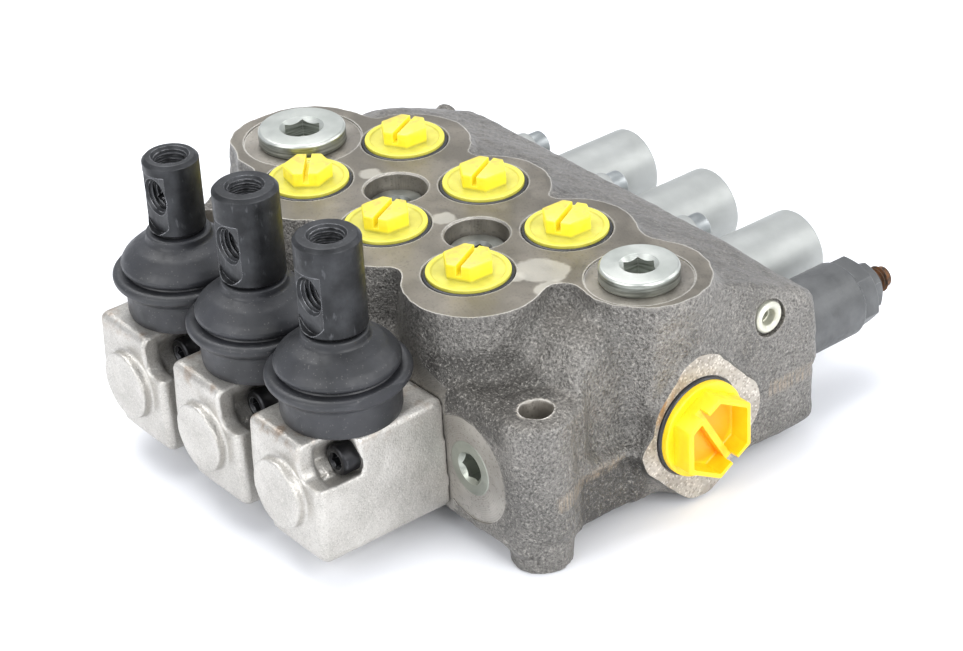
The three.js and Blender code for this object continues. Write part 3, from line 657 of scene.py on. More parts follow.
def inlet_plug():
    """A hollow hexagon cap on a flange, with a rib across the hollow and a notch across the rim."""
    at = (0, INLET["y"], INLET["z"])
    base = INLET["face"] + 0.3
    profile = [(0, base - 15), (9.2, base - 15), (9.2, base), (INLET["flange"], base),
               (INLET["flange"], base + 2.6), (0, base + 2.6)]
    flange = lathe("inlet_plug", rounded(profile, 0.5), "x", at, 128)
    cap = bevel(prism(hexagon(22), base + 1, base + 8.8, "x", at), 0.5)
    combine(flange, [cap], "UNION")
    hollow = bevel(prism(hexagon(19.2), base + 2.6, base + 14, "x", at), 0.5)
    combine(flange, [hollow])
    across = math.pi / 6
    rib = bevel(prism(bar(19.6, 2.0, across), base + 2, base + 7.6, "x", at), 0.3)
    combine(flange, [rib], "UNION")
    return combine(flange, [prism(bar(30, 2.3, across), base + 5.6, base + 14, "x", at)])


def gauge_plug():
    at = (0, GAUGE["y"], GAUGE["z"])
    face = RIGHT_X + 0.4
    r = GAUGE["r"]
    profile = [(0, face - 9), (r, face - 9), (r, face - 0.5), (r - 0.6, face), (3.1, face),
               (2.4, face - 0.6), (2.4, face - 3), (0, face - 3)]
    plug = lathe("gauge_plug", rounded(profile, 0.25), "x", at)
    return combine(plug, [prism(hexagon(4), face - 8, face + 1, "x", at)])


# ---------------------------------------------------------------- lever sections
BOX = dict(half=15.6, front=-81, top=-23, bottom=-56, boss=9.8, boss_out=3)
BOX_SCREW = dict(dx=9.2, dz=8.7, seat=-65.5)
PIVOT_Z = -25
HEAD = dict(r=4.25, h=5, key=4)


def near_quadrant(u, w, low_u, low_w, r):
    """Distance to the quarter-plane beyond low_u and low_w, with its inner corner rounded."""
    pu = low_u + r - u
    pw = low_w + r - w
    return np.hypot(np.maximum(pu, 0), np.maximum(pw, 0)) + np.minimum(np.maximum(pu, pw), 0) - r


def box_distance(x, y, z):
    """Signed distance to a lever box drawn about X = 0, with its bores and its screw notches."""
    half = BOX["half"]
    front = BOX["front"]
    low = (-half, front, BOX["bottom"])
    high = (half, FRONT_Y + 3, BOX["top"])
    drafted = x / (1 + 0.0028 * (SPOOL_Z - z))
    body = near_box(drafted, y, z, low, high, 2.4)
    body = np.maximum(body, y - FRONT_Y + 0.3)
    for side in (-1, 1):
        u = (x - side * BOX_SCREW["dx"]) * side
        w = (z - SPOOL_Z - side * BOX_SCREW["dz"]) * side
        notch = np.maximum(near_quadrant(u, w, -1.5, -2.6, 3.5), y - BOX_SCREW["seat"] + 1.5)
        well = np.maximum(np.hypot(u, w) - 5.1, y - BOX_SCREW["seat"])
        well = np.maximum(well, np.maximum(-75 - y, 9 - np.hypot(x, z - SPOOL_Z)))
        body = blend_max(body, -blend_min(notch, well, 2.5), 1.0)
    boss = near_rod(x, z - SPOOL_Z, y, BOX["boss"], front - BOX["boss_out"], front + 1.5, 0.4)
    body = blend_min(body, boss, 0.8)
    bore = np.maximum(np.hypot(x, z - SPOOL_Z) - 8.4, -76 - y)
    socket = np.sqrt(x * x + (y - LEVER_Y) ** 2 + (z - PIVOT_Z) ** 2) - 6.3
    mouth = np.maximum(np.hypot(x, y - LEVER_Y) - 12.9, -24.8 - z)
    slot = np.maximum(np.abs(x) - 3, np.abs(y - LEVER_Y) - 7)
    slot = np.maximum(slot, np.maximum(-36 - z, z - PIVOT_Z))
    body = np.maximum(body, -np.minimum(np.minimum(bore, socket), np.minimum(mouth, slot)))
    return body + 0.04 * lumps(x, y, z, 1.5, 11) + 0.12 * lumps(x, y, z, 9, 12)


def build_lever_box():
    low = (-BOX["half"] - 2, BOX["front"] - BOX["boss_out"] - 2, BOX["bottom"] - 2)
    high = (BOX["half"] + 2, FRONT_Y + 1.5, BOX["top"] + 2)
    return surface("lever_box", box_distance, low, high, 0.55)


def moved_copy(shown, dx):
    """The same mesh again, further along the row."""
    again = bpy.data.objects.new(shown.name, shown.data.copy())
    again.data.transform(Matrix.Translation((dx * MM, 0, 0)))
    bpy.context.scene.collection.objects.link(again)
    return again


def socket_screw(facing, x, z, face, length=9):
    """A socket-head screw along Y whose head ends at face, looking along facing (-1 or 1)."""
    r, h = HEAD["r"], HEAD["h"]
    profile = [(0, -length), (2.4, -length), (2.4, -h), (r, -h), (r, -0.5), (r - 0.45, 0), (0, 0)]
    screw = lathe("screw", rounded(profile, 0.2), "z", (0, 0, 0), 48)
    combine(screw, hex_socket(HEAD["key"], 0, 2.8, "z", (0, 0, 0), 0.3, 0.3))
    return to_front(screw, (x, face, z), facing)


def boot(x):
    """A moulded bellows: a neck on the lever, a dome, a deep groove, a lip and a collar."""
    outside = [(7.15, 1.6), (8.5, 1.6), (9.0, 1.2), (9.0, -0.3), (9.3, -1.0), (12.6, -2.6), (15.6, -5.2),
               (16.8, -7.2), (16.6, -8.6), (15.2, -9.3), (15.3, -9.9), (18.2, -9.7), (19.4, -10.5),
               (19.4, -11.9), (18.4, -13.2), (16.6, -14.4), (16.2, -15.6), (16.2, -21.6), (15.9, -22.8)]
    inside = [(13.4, -22.8), (13.6, -14), (16.2, -11), (14.4, -8.2), (8.6, -3.8), (7.3, -2), (7.15, 1.6)]
    profile = rounded(outside, 0.8, 5) + rounded(inside, 0.5, 3)
    shown = lathe("boot", profile, "z", (x, LEVER_Y, 0), 144)
    side = (PITCH / 2 - 0.16) * MM
    middle = in_frame((x, 0, 0)).x
    for vertex in shown.data.vertices:
        vertex.co.x = min(max(vertex.co.x, middle - side), middle + side)
    return shown


LEVER_TOPS = [24, 28.7, 28.7]
LEVER_R = [7.8, 8.9, 8.9]
LEVER_NECK_R = 6.8
FLAT = dict(low=3.4, high=20.5, depth=1.9, hole=13.2)
M10_CORE_R = 4.3


def tapped_hole(low, mouth):
    """Cutters for an M10 hole that opens at mouth: a ridged bore and a countersink."""
    ridges = [(0, low)] + thread(M10_CORE_R, 5.0, low, mouth, 1.5) + [(M10_CORE_R, mouth + 2), (0, mouth + 2)]
    sink = [(0, mouth - 1.0), (M10_CORE_R + 0.1, mouth - 1.0), (5.4, mouth + 0.1), (5.4, mouth + 2)]
    sink.append((0, mouth + 2))
    return [lathe("tap", ridges, segments=48), lathe("sink", sink, segments=48)]


def lever(x, top, r):
    """A hand lever's stub: a neck, a barrel with a flat, and a tapped hole in the top and in the flat."""
    profile = [(0, -7), (4.5, -7), (LEVER_NECK_R, -3.5), (LEVER_NECK_R, 2.1), (r - 0.7, 2.1), (r, 2.8),
               (r, top - 1), (r - 1, top), (0, top)]
    barrel = lathe("lever", rounded(profile, 0.2), "z", (x, LEVER_Y, 0), 128)
    tail = [(3.6 * math.sin(a), SPOOL_Z - 3.6 * math.cos(a)) for a in np.linspace(0, 2.5, 14)]
    ball = [(5.6 * math.sin(a), PIVOT_Z - 5.6 * math.cos(a)) for a in np.linspace(0.42, 2.2, 14)]
    shank = lathe("shank", tail + ball + [(4.5, -6.5), (0, -6.5)], "z", (x, LEVER_Y, 0), 48)
    combine(barrel, [shank], "UNION")
    width = 6.0
    arc = [(width * math.cos(a), FLAT["low"] + 5.2 + width * math.sin(a))
           for a in np.linspace(math.pi, 2 * math.pi, 24)]
    flat = to_front(prism(arc + [(width + 4, FLAT["high"]), (-width - 4, FLAT["high"])], -3, 9),
                    (x, LEVER_Y - r + FLAT["depth"] - 3, 0))
    cuts = [flat]
    hole_at = (x, LEVER_Y - r + FLAT["depth"], FLAT["hole"])
    cuts += [to_front(cutter, hole_at) for cutter in tapped_hole(-8, 0)]
    for cutter in tapped_hole(top - 14, top):
        cutter.data.transform(Matrix.Translation((x * MM, LEVER_Y * MM, 0)))
        cuts.append(cutter)
    return combine(barrel, cuts)


# ---------------------------------------------------------------- spring caps and relief valve
CAP = dict(r=11.7, flange=5, end=103.9, wall=2, lug=5.4, d=12.2)


def spring_cap(x):
    face = BACK_Y + 0.3
    d, lug = CAP["d"], CAP["lug"]
    lobes = [(-d, -d, lug, 12), (0, 0, 13.4, 12), (d, d, lug, 12), (0, 0, 13.4, 12)]
    loop = lobed_outline(lobes)
    if np.cross(loop[1] - loop[0], loop[2] - loop[1]) < 0:
        loop = loop[::-1]
    flange = bevel(prism(loop.tolist(), face, face + CAP["flange"], "y", (x, 0, SPOOL_Z)), 0.8)
    r, end = CAP["r"], CAP["end"]
    cup = lathe("cup", rounded([(0, face + 1), (r, face + 1), (r, face + CAP["flange"] + 1), (r, end),
                                (0, end)], 1.3), "y", (x, 0, SPOOL_Z), 128)
    combine(flange, [cup], "UNION")
    hollow = rod(r - CAP["wall"], face - 1, end - CAP["wall"], "y", (x, 0, SPOOL_Z))
    holes = [rod(HEAD["r"] + 0.4, face + CAP["flange"] - 0.2, end - 10, "y", (x + s * d, 0, SPOOL_Z - s * d))
             for s in (-1, 1)]
    return combine(flange, [hollow] + holes)


def relief_cartridge():
    """A turned sleeve with a hexagon at its end, chamfered at both ends."""
    at = (RELIEF["x"], 0, RELIEF["z"])
    face = BACK_Y + 0.3
    profile = [(0, face - 8), (8, face - 8), (8, face), (11.1, face), (11.1, 90.8), (9.6, 92.4), (0, 92.4)]
    shell = lathe("relief_cartridge", rounded(profile, 0.3), "y", at, 128)
    hexed = prism(hexagon(19, 0.2), 88, 98, "y", at)
    trim = lathe("trim", [(0, 80), (10.9, 80), (10.9, 96.6), (8.8, 98), (0, 98)], "y", at)
    combine(hexed, [trim], "INTERSECT")
    bevel(hexed, 0.25, 2)
    combine(shell, [hexed], "UNION")
    return combine(shell, [rod(4.1, 90, 99, "y", at, 48)])


def relief_nut():
    at = (RELIEF["x"], 0, RELIEF["z"])
    nut = prism(hexagon(13, 0.5), 98.3, 102.4, "y", at)
    trim = lathe("trim", [(0, 97), (7.5, 97), (7.5, 101.6), (6.4, 102.4), (0, 102.4)], "y", at)
    combine(nut, [trim], "INTERSECT")
    bevel(nut, 0.15, 2)
    return combine(nut, [rod(4.15, 97, 104, "y", at, 48)])


def relief_screw():
    at = (RELIEF["x"], 0, RELIEF["z"])
    end = 109.3
    profile = [(0, 86), (3.2, 86)] + thread(3.2, 3.95, 86.5, end - 1, 1.25) + [(3.1, end), (0, end)]
    screw = lathe("relief_screw", profile, "y", at, 64)
    return combine(screw, [prism(hexagon(3.6), end - 3, end + 1, "y", at)])


# The springs: each runs from its moving end to its fixed end, along an axis through a point.
SPRINGS = {
    "relief_spring": ("relief_poppet", (RELIEF["x"], 0, RELIEF["z"]),
                      dict(coil=3.9, wire=0.8, ends=(56.4, 79.7), turns=6, axis="y")),
}
for n, section_x in enumerate(SPOOL_X, 1):
    SPRINGS[f"centring_spring_{n}"] = (f"spool_{n}", (section_x, 0, SPOOL_Z),
                                       dict(coil=6.4, wire=1.1, ends=(70.6, 95), turns=5, axis="y"))
for n, (x, y) in enumerate(CHECKS, 1):
    SPRINGS[f"check_spring_{n}"] = (f"check_poppet_{n}", (x, y, 0),
                                    dict(coil=3.2, wire=0.5, ends=(-26.6, -11.9), turns=5, axis="z"))


def spring(coil, wire, ends, turns, axis, at, steps=28, sides=10):
    """A round wire wound along an axis, with both ends cut square."""
    count = turns * steps + 1
    points = []
    for i in range(count):
        angle = 2 * math.pi * i / steps
        height = ends[0] + wire + (ends[1] - ends[0] - 2 * wire) * i / (count - 1)
        for around in np.linspace(0, 2 * math.pi, sides, endpoint=False):
            r = coil + wire * math.cos(around)
            points.append((r * math.cos(angle), r * math.sin(angle), height + wire * math.sin(around)))
    faces = [tuple(range(sides)), tuple(range((count - 1) * sides, count * sides))]
    for row in range(0, (count - 1) * sides, sides):
        for i in range(sides):
            j = (i + 1) % sides
            faces.append((row + i, row + j, row + sides + j, row + sides + i))
    return outward(piece("spring", points, faces, axis, at))


# ---------------------------------------------------------------- materials
def colour(r, g, b):
    """A display colour, 0 to 255, as linear RGBA."""
    linear = [(c / 255 / 12.92) if c <= 10 else ((c / 255 + 0.055) / 1.055) ** 2.4 for c in (r, g, b)]
    return (*linear, 1.0)


class Finish:
    """A material built from nodes: noise, edge masks for wear and painted highlights, and bump, that feed one
    principled shader.
    """

    def __init__(self, name, roughness=0.5, metallic=0.0):
        self.material = bpy.data.materials.new(name)
        self.material.use_nodes = True
        self.tree = self.material.node_tree
        self.shader = self.tree.nodes["Principled BSDF"]
        self.place = self.node("ShaderNodeTexCoord").outputs["Object"]
        self.set("Roughness", roughness)
        self.set("Metallic", metallic)

    def set(self, name, value):
        self.plug(self.shader.inputs[name], value)

    def plug(self, socket, value):
        if isinstance(value, bpy.types.NodeSocket):
            self.tree.links.new(value, socket)
        else:
            socket.default_value = value

    def node(self, kind, inputs=None, **settings):
        made = self.tree.nodes.new(kind)
        for key, value in settings.items():
            setattr(made, key, value)
        for key, value in (inputs or {}).items():
            self.plug(made.inputs[key], value)
        return made

    def noise(self, size, detail=2.0, stretch=(1, 1, 1), rough=0.55):
        """Soft noise, about size millimetres from one lump to the next."""
        scale = tuple(1 / s for s in stretch)
        where = self.node("ShaderNodeVectorMath", {0: self.place, 1: scale}, operation="MULTIPLY").outputs[0]
        inputs = {"Vector": where, "Scale": 1 / (size * MM), "Detail": detail, "Roughness": rough}
        return self.node("ShaderNodeTexNoise", inputs).outputs["Fac"]

    def cells(self, size, output="Distance"):
        inputs = {"Vector": self.place, "Scale": 1 / (size * MM)}
        return self.node("ShaderNodeTexVoronoi", inputs).outputs[output]

    def spread(self, value, low, high, a=0.0, b=1.0):
        """The value's range from low to high, stretched to run from a to b."""
        inputs = {"Value": value, "From Min": low, "From Max": high, "To Min": a, "To Max": b}
        return self.node("ShaderNodeMapRange", inputs).outputs["Result"]

    def mix(self, share, a, b, how="MIX"):
        made = self.node("ShaderNodeMix", {0: share, 6: a, 7: b}, data_type="RGBA", blend_type=how)
        return made.outputs[2]

    def math(self, operation, a, b=0.0):
        return self.node("ShaderNodeMath", {0: a, 1: b}, operation=operation, use_clamp=False).outputs[0]

    def clouds(self, size, detail, dark, light, low=0.35, high=0.7):
        """Two colours in soft clouds, about size millimetres wide."""
        return self.mix(self.spread(self.noise(size, detail), low, high), dark, light)

    def over(self, base, share, strength, tint):
        """A colour laid over the base where share is high."""
        return self.mix(self.math("MULTIPLY", share, strength), base, tint)

    def both(self, a, b):
        return self.math("MULTIPLY", a, b)

    def part(self, socket, axis):
        """One coordinate of a vector."""
        return self.node("ShaderNodeSeparateXYZ", {0: socket}).outputs[axis]

    def facing_up(self, low, high, a=0.0, b=1.0):
        """How far a face looks up, from a to b as its normal's Z runs from low to high."""
        normal = self.node("ShaderNodeNewGeometry").outputs["Normal"]
        return self.spread(self.part(normal, 2), low, high, a, b)

    def roughness(self, size, detail, low, high):
        """Roughness that wanders between two values."""
        self.set("Roughness", self.spread(self.noise(size, detail), 0.3, 0.7, low, high))

    def soft(self, weight, radius):
        """Light that passes a little way under the skin, as in plastic."""
        self.set("Subsurface Weight", weight)
        self.set("Subsurface Radius", radius)
        self.set("Subsurface Scale", 0.002)

    def finished(self, base, height, depth):
        """Sets the colour and the bump, depth in millimetres, and gives the material."""
        bumped = self.node("ShaderNodeBump", {"Height": height, "Distance": depth * MM, "Strength": 1.0})
        self.set("Base Color", base)
        self.set("Normal", bumped.outputs["Normal"])
        return self.material

    # An edge mask: it carries real edge wear and painted edge highlights.
    def edge_wear_and_highlight(self, radius=0.5, low=0.01, high=0.12):
        """How close a point is to an edge, from 0 to 1."""
        bevelled = self.node("ShaderNodeBevel", {"Radius": radius * MM}, samples=4).outputs[0]
        straight = self.node("ShaderNodeNewGeometry").outputs["Normal"]
        dot = self.node("ShaderNodeVectorMath", {0: bevelled, 1: straight}, operation="DOT_PRODUCT")
        return self.spread(dot.outputs["Value"], 1 - low, 1 - high)

    def around(self, origin, axis="z"):
        """The distance in metres from a line through a point of the casting frame."""
        start = tuple(-c for c in in_frame(origin))
        moved = self.node("ShaderNodeVectorMath", {0: self.place, 1: start}, operation="ADD").outputs[0]
        flat = {"x": (0, 1, 1), "y": (1, 0, 1), "z": (1, 1, 0)}[axis]
        cut = self.node("ShaderNodeVectorMath", {0: moved, 1: flat}, operation="MULTIPLY").outputs[0]
        return self.node("ShaderNodeVectorMath", {0: cut}, operation="LENGTH").outputs["Value"]

    def inside(self, low, high, soft):
        """1 within a box of the casting frame, fading out over soft millimetres beyond it."""
        share = 1.0
        for axis in (1, 2, 0):
            value = self.part(self.place, axis)
            start, end = (in_frame((limit,) * 3)[axis] for limit in (low[axis], high[axis]))
            rise = self.spread(value, start - soft * MM, start)
            share = self.both(share, self.both(rise, self.spread(value, end + soft * MM, end)))
        return share

    def lines(self, value, pitch):
        """Fine tool marks: a value in metres turned into a ripple of the given pitch."""
        wave = self.math("SINE", self.math("MULTIPLY", value, 2 * math.pi / (pitch * MM)))
        return self.spread(wave, -1, 1)


def grit(finish, size, share):
    """Sparse bright specks, as sparkling grains, from 0 to 1."""
    grains = finish.cells(size, "Color")
    level = finish.node("ShaderNodeSeparateColor", {"Color": grains}).outputs[0]
    return finish.spread(level, 1 - share, 1 - share * 0.6)


def cast_iron():
    """Sand-cast iron: grey, with a fine sparkling grain, painted shade on faces that look up, a ledge dark in
    its own finish and in painted shade, painted shadow on the set-back wall, and brown ground streaks.
    """
    f = Finish("cast_iron", 0.45, 0.6)
    grain = f.noise(0.75, 2, rough=0.8)
    base = f.clouds(22, 3, colour(112, 110, 106), colour(138, 135, 130), 0.35, 0.68)
    # Painted shade: faces that look up are painted a darker brown-grey.
    base = f.mix(f.facing_up(0.6, 0.95, 0, 0.3), base, colour(88, 82, 75))
    # Painted shade: the ledge, partly dark in its own finish, and the set-back wall, painted shadow, are
    # darkened.
    for low, high in DARK_AND_SHADED_PARTS:
        base = f.over(base, f.inside(low, high, 3), 0.6, colour(54, 52, 49))
    base = f.mix(f.spread(grain, 0.52, 0.34, 0, 0.75), base, colour(58, 56, 53))
    base = f.mix(f.spread(grain, 0.56, 0.7, 0, 0.6), base, colour(186, 182, 174))
    base = f.over(base, f.edge_wear_and_highlight(1.6, 0.01, 0.2), 0.3, colour(190, 185, 177))
    streaks = f.spread(f.noise(1.3, 3, (1, 0.35, 9)), 0.4, 0.66)
    for start, end in GROUND_STREAKS:
        near = f.inside((RIGHT_X - 5, start, PARTING_Z - 2.5), (RIGHT_X + 6, end, PARTING_Z + 1), 1.2)
        base = f.over(base, f.both(near, streaks), 0.65, colour(176, 160, 139))
    f.set("Roughness", f.spread(grain, 0.3, 0.7, 0.3, 0.55))
    height = f.math("ADD", f.math("MULTIPLY", grain, 0.8), f.math("MULTIPLY", f.noise(1.9, 2), 0.5))
    return f.finished(base, height, 0.75)


def milled(name, tone, dark, origin=(-260, 40, 0), axis="z", pitch=0.55, rough=0.36, rubbed=()):
    """A machined iron face: fine tool arcs over a warm grey, bright edges that are partly rubbed wear and
    partly painted highlight, and rubbed patches.
    """
    f = Finish(name, rough, 0.7)
    base = f.clouds(16, 3, dark, tone, 0.4, 0.65)
    wander = f.math("MULTIPLY", f.noise(3), 0.2 * MM)
    arcs = f.lines(f.math("ADD", f.around(origin, axis), wander), pitch)
    base = f.over(base, arcs, 0.22, dark)
    base = f.over(base, grit(f, 0.5, 0.12), 0.3, colour(80, 76, 70))
    for x, y, reach in rubbed:
        near = f.math("ADD", f.around((x, y, 0)), f.math("MULTIPLY", f.noise(7, 3), 6 * MM))
        share = f.spread(near, (reach + 3.2) * MM, (reach + 2.2) * MM, 0, 0.6)
        base = f.mix(share, base, colour(190, 186, 175))
    # Painted highlight: the edges are painted bright, partly as rubbed wear.
    base = f.over(base, f.edge_wear_and_highlight(0.9, 0.01, 0.15), 0.8, colour(228, 225, 218))
    f.roughness(4, 3, rough - 0.06, rough + 0.12)
    return f.finished(base, f.math("ADD", arcs, f.noise(0.5)), 0.03)


def inlet_face():
    """The inlet's faced boss: pale, speckled, with a brown stain on its upper left."""
    f = Finish("inlet_face", 0.5, 0.45)
    base = f.clouds(9, 3, colour(160, 154, 145), colour(190, 184, 175), 0.4, 0.7)
    base = f.over(base, grit(f, 0.7, 0.3), 0.5, colour(120, 114, 106))
    base = f.over(base, grit(f, 0.5, 0.15), 0.6, colour(225, 220, 212))
    stain_at = (INLET["face"], INLET["y"] - 13, INLET["z"] + 12)
    near = f.spread(f.around(stain_at, "x"), 11 * MM, 3 * MM)
    stain = f.both(near, f.spread(f.noise(3, 4), 0.4, 0.62))
    base = f.over(base, stain, 0.75, colour(150, 108, 62))
    return f.finished(base, f.noise(0.5, 3), 0.04)


def plated(name, tone, dark, rough=0.3, origin=None, axis="z", metal=0.85, side=None):
    """Zinc-plated, turned steel: even tone, fine turning rings, rubbed edges, darker brushed sides."""
    f = Finish(name, rough, metal)
    base = f.clouds(9, 2, dark, tone, 0.3, 0.75)
    base = f.over(base, grit(f, 0.6, 0.2), 0.15, dark)
    if side:
        brushed = f.mix(f.spread(f.noise(1.2, 3, (8, 8, 0.5)), 0.35, 0.65), side, dark)
        base = f.mix(f.facing_up(0.6, 0.3), base, brushed)
    bright = tuple(min(1, c * 1.5) for c in tone[:3]) + (1,)
    base = f.over(base, f.edge_wear_and_highlight(0.35, 0.02, 0.25), 0.6, bright)
    f.roughness(2.5, 3, rough - 0.02, rough + 0.06)
    height = f.noise(0.4, 2)
    if origin:
        rings = f.lines(f.around(origin, axis), TURNING_PITCH)
        height = f.math("ADD", f.math("MULTIPLY", rings, 0.7), height)
    return f.finished(base, height, 0.02)


def blasted_aluminium():
    """Bead-blasted die-cast aluminium: warm silver, finely pitted, brown stains near the boot."""
    f = Finish("aluminium", 0.42, 0.7)
    base = f.clouds(12, 3, colour(176, 173, 167), colour(198, 195, 189))
    base = f.over(base, grit(f, 0.26, 0.3), 0.3, colour(226, 223, 217))
    base = f.over(base, grit(f, 0.33, 0.15), 0.25, colour(112, 108, 102))
    top = in_frame((0, 0, BOX["top"])).z
    near = f.spread(f.part(f.place, 2), top - 6 * MM, top - 0.5 * MM)
    stain = f.both(near, f.spread(f.noise(5, 4), 0.5, 0.68))
    base = f.over(base, stain, 0.55, colour(128, 96, 62))
    base = f.over(base, f.edge_wear_and_highlight(1.2, 0.02, 0.3), 0.4, colour(232, 230, 225))
    f.roughness(1.2, 2, 0.34, 0.5)
    return f.finished(base, f.math("ADD", f.noise(0.45, 2), f.cells(0.7)), 0.05)


def black_rubber(name="rubber", rough=0.44):
    """Satin moulded rubber, dusty in specks, with a faint bloom."""
    f = Finish(name, rough)
    base = f.clouds(14, 3, colour(30, 31, 33), colour(44, 45, 49))
    base = f.over(base, grit(f, 0.3, 0.02), 0.4, colour(100, 98, 96))
    f.roughness(3, 3, rough - 0.08, rough + 0.12)
    f.set("Specular IOR Level", 0.55)
    return f.finished(base, f.noise(0.7, 3), 0.03)


def black_oxide(name, tone=(62, 63, 65), rough=0.38, metal=0.7, even=0.66, scuffed=0.3):
    """Blackened steel: a dark film, scuffed bright along the edges."""
    f = Finish(name, rough, metal)
    base = f.clouds(7, 4, colour(*[c * even for c in tone]), colour(*tone))
    scuffs = f.spread(f.noise(1.4, 4, (1, 1, 3)), 0.62, 0.74)
    base = f.over(base, scuffs, scuffed, colour(120, 121, 124))
    edge = f.both(f.edge_wear_and_highlight(0.45, 0.03, 0.22), f.spread(f.noise(2, 3), 0.35, 0.6))
    base = f.over(base, edge, 0.9, colour(196, 197, 200))
    f.roughness(2, 3, rough - 0.06, rough + 0.14)
    return f.finished(base, f.math("ADD", f.noise(0.5, 2), scuffs), 0.025)


def yellow_plastic():
    """Soft translucent polyethylene: a khaki flange, a bright yellow head, worn khaki on its top."""
    f = Finish("yellow_plastic", 0.4)
    height = f.part(f.place, 2)
    port_face = in_frame((0, 0, 0)).z
    head = f.spread(height, port_face + 0.8 * MM, port_face + 1.6 * MM)
    flange = f.clouds(6, 2, colour(186, 180, 72), colour(206, 200, 88))
    bright = f.clouds(4, 2, colour(240, 222, 50), colour(248, 232, 66))
    worn = f.spread(f.noise(2.5, 4), 0.3, 0.7, 0.35, 1)
    above = f.both(f.spread(height, port_face + 3.8 * MM, port_face + 4.6 * MM), worn)
    above = f.both(above, f.facing_up(0.7, 0.95))
    bright = f.mix(above, bright, colour(190, 172, 84))
    base = f.mix(head, flange, bright)
    base = f.over(base, f.edge_wear_and_highlight(0.5, 0.02, 0.25), 0.35, colour(255, 246, 130))
    f.soft(0.35, (0.9, 0.8, 0.2))
    f.roughness(2, 2, 0.32, 0.5)
    return f.finished(base, f.noise(1.4, 2), 0.03)


def inlet_plastic():
    """Saturated yellow plastic, with a painted orange glow inside its hollow."""
    f = Finish("inlet_plastic", 0.36)
    base = f.clouds(6, 2, colour(252, 204, 20), colour(255, 218, 34))
    # Painted glow: the walls of the hollow are painted orange, as light coming through the plastic.
    axis = f.around((0, INLET["y"], INLET["z"]), "x")
    rim = in_frame((INLET["face"] + 9, 0, 0)).x
    inside = f.spread(f.part(f.place, 0), rim - MM, rim - 7 * MM)
    inside = f.both(f.spread(axis, 10.2 * MM, 8.5 * MM), inside)
    base = f.over(base, inside, 0.85, colour(250, 150, 8))
    f.soft(0.3, (0.9, 0.5, 0.1))
    f.roughness(2, 2, 0.28, 0.44)
    return f.finished(base, f.noise(1.4, 2), 0.03)


def oiled_steel(name, tone):
    """Ground or drawn steel under a film of oil."""
    f = Finish(name, 0.25, 0.9)
    base = f.clouds(6, 3, colour(*[c * 0.75 for c in tone]), colour(*tone))
    f.roughness(1.5, 3, 0.18, 0.36)
    return f.finished(base, f.noise(0.5, 2), 0.01)


def rusty_thread():
    """A threaded screw, blackened, with rust in its grooves."""
    f = Finish("rusty_thread", 0.5, 0.6)
    base = f.clouds(1.5, 4, colour(62, 52, 44), colour(112, 74, 44), 0.4, 0.62)
    base = f.over(base, f.edge_wear_and_highlight(0.3, 0.03, 0.25), 0.6, colour(150, 136, 122))
    return f.finished(base, f.noise(0.5, 3), 0.04)


# ---------------------------------------------------------------- the pieces, most of them on a body
FINISHES = {
    "cast": cast_iron(),
    "port_face": milled("port_face", colour(132, 126, 116), colour(106, 101, 92), rubbed=RUBBED),
    "seats": milled("seats", colour(160, 155, 146), colour(122, 117, 109), pitch=0.4),
    "front_face": milled("front_face", colour(186, 182, 175), colour(150, 146, 139),
                         (GALLERY["x"], 0, GALLERY["z"]), "y", 0.6),
    "inlet_face": inlet_face(),
    "zinc_cap": plated("zinc_cap", colour(176, 178, 175), colour(164, 166, 163), 0.46, metal=0.7),
    "zinc_screw": plated("zinc_screw", colour(176, 180, 180), colour(134, 138, 138), 0.3),
    "check": plated("check_plug", colour(150, 152, 146), colour(104, 106, 102), 0.3),
    "gallery": plated("gallery_plug", colour(178, 182, 172), colour(140, 144, 134), 0.3,
                      (GALLERY["x"], 0, GALLERY["z"]), "y"),
    "aluminium": blasted_aluminium(),
    "rubber": black_rubber(),
    "seal": black_rubber("seal", 0.3),
    "lever": black_oxide("lever"),
    "black_screw": black_oxide("black_screw", (48, 48, 50), 0.34),
    "relief": black_oxide("relief", (104, 105, 105), 0.42, 0.6, 0.88, 0.1),
    "yellow": yellow_plastic(),
    "inlet": inlet_plastic(),
    "pale": plated("pale_plate", colour(214, 214, 200), colour(178, 178, 162), 0.4, metal=0.4),
    "ground": oiled_steel("ground_steel", (190, 192, 196)),
    "spring": oiled_steel("spring_steel", (140, 142, 146)),
    "thread": rusty_thread(),
}
for plug_name, plug in COLLAR_PLUGS.items():
    FINISHES[plug_name] = plated(plug_name, colour(206, 208, 202), colour(180, 184, 177), 0.32,
                                 (plug["x"], plug["y"], 0), side=colour(118, 121, 114))


def show(made, name, finish, body="housing", replaces=(), angle=32):
    made.name = name
    for each in [finish] if isinstance(finish, str) else finish:
        made.data.materials.append(FINISHES[each])
    smooth(made, angle)
    if body:
        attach(made, body)
    if replaces:
        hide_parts(*replaces)


def repaint(node, finish):
    """Gives a CAD node that stays its procedural material."""
    shown = bpy.data.objects[node]
    shown.data.materials.clear()
    shown.data.materials.append(FINISHES[finish])


PLUG_TURN = 0.48
FIRST_PLUG_TURN = 0.855

show(build_body(), "cast_body", ["cast", "port_face", "seats", "front_face", "inlet_face"],
     replaces=["valve_body"], angle=38)

for n, section_x in enumerate(SPOOL_X, 1):
    for row, side in (("a", -1), ("b", 1)):
        turn = FIRST_PLUG_TURN if (row, n) == ("a", 1) else PLUG_TURN
        show(port_plug(section_x, side * PORT_ROW, turn), f"yellow_plug_{row}{n}", "yellow",
             replaces=[f"port_plug_{row}{n}"])
        show(ring(11.75, 0.72, -0.62, "z", (section_x, side * PORT_ROW, 0)), f"port_seal_{row}{n}",
             "seal", angle=80)

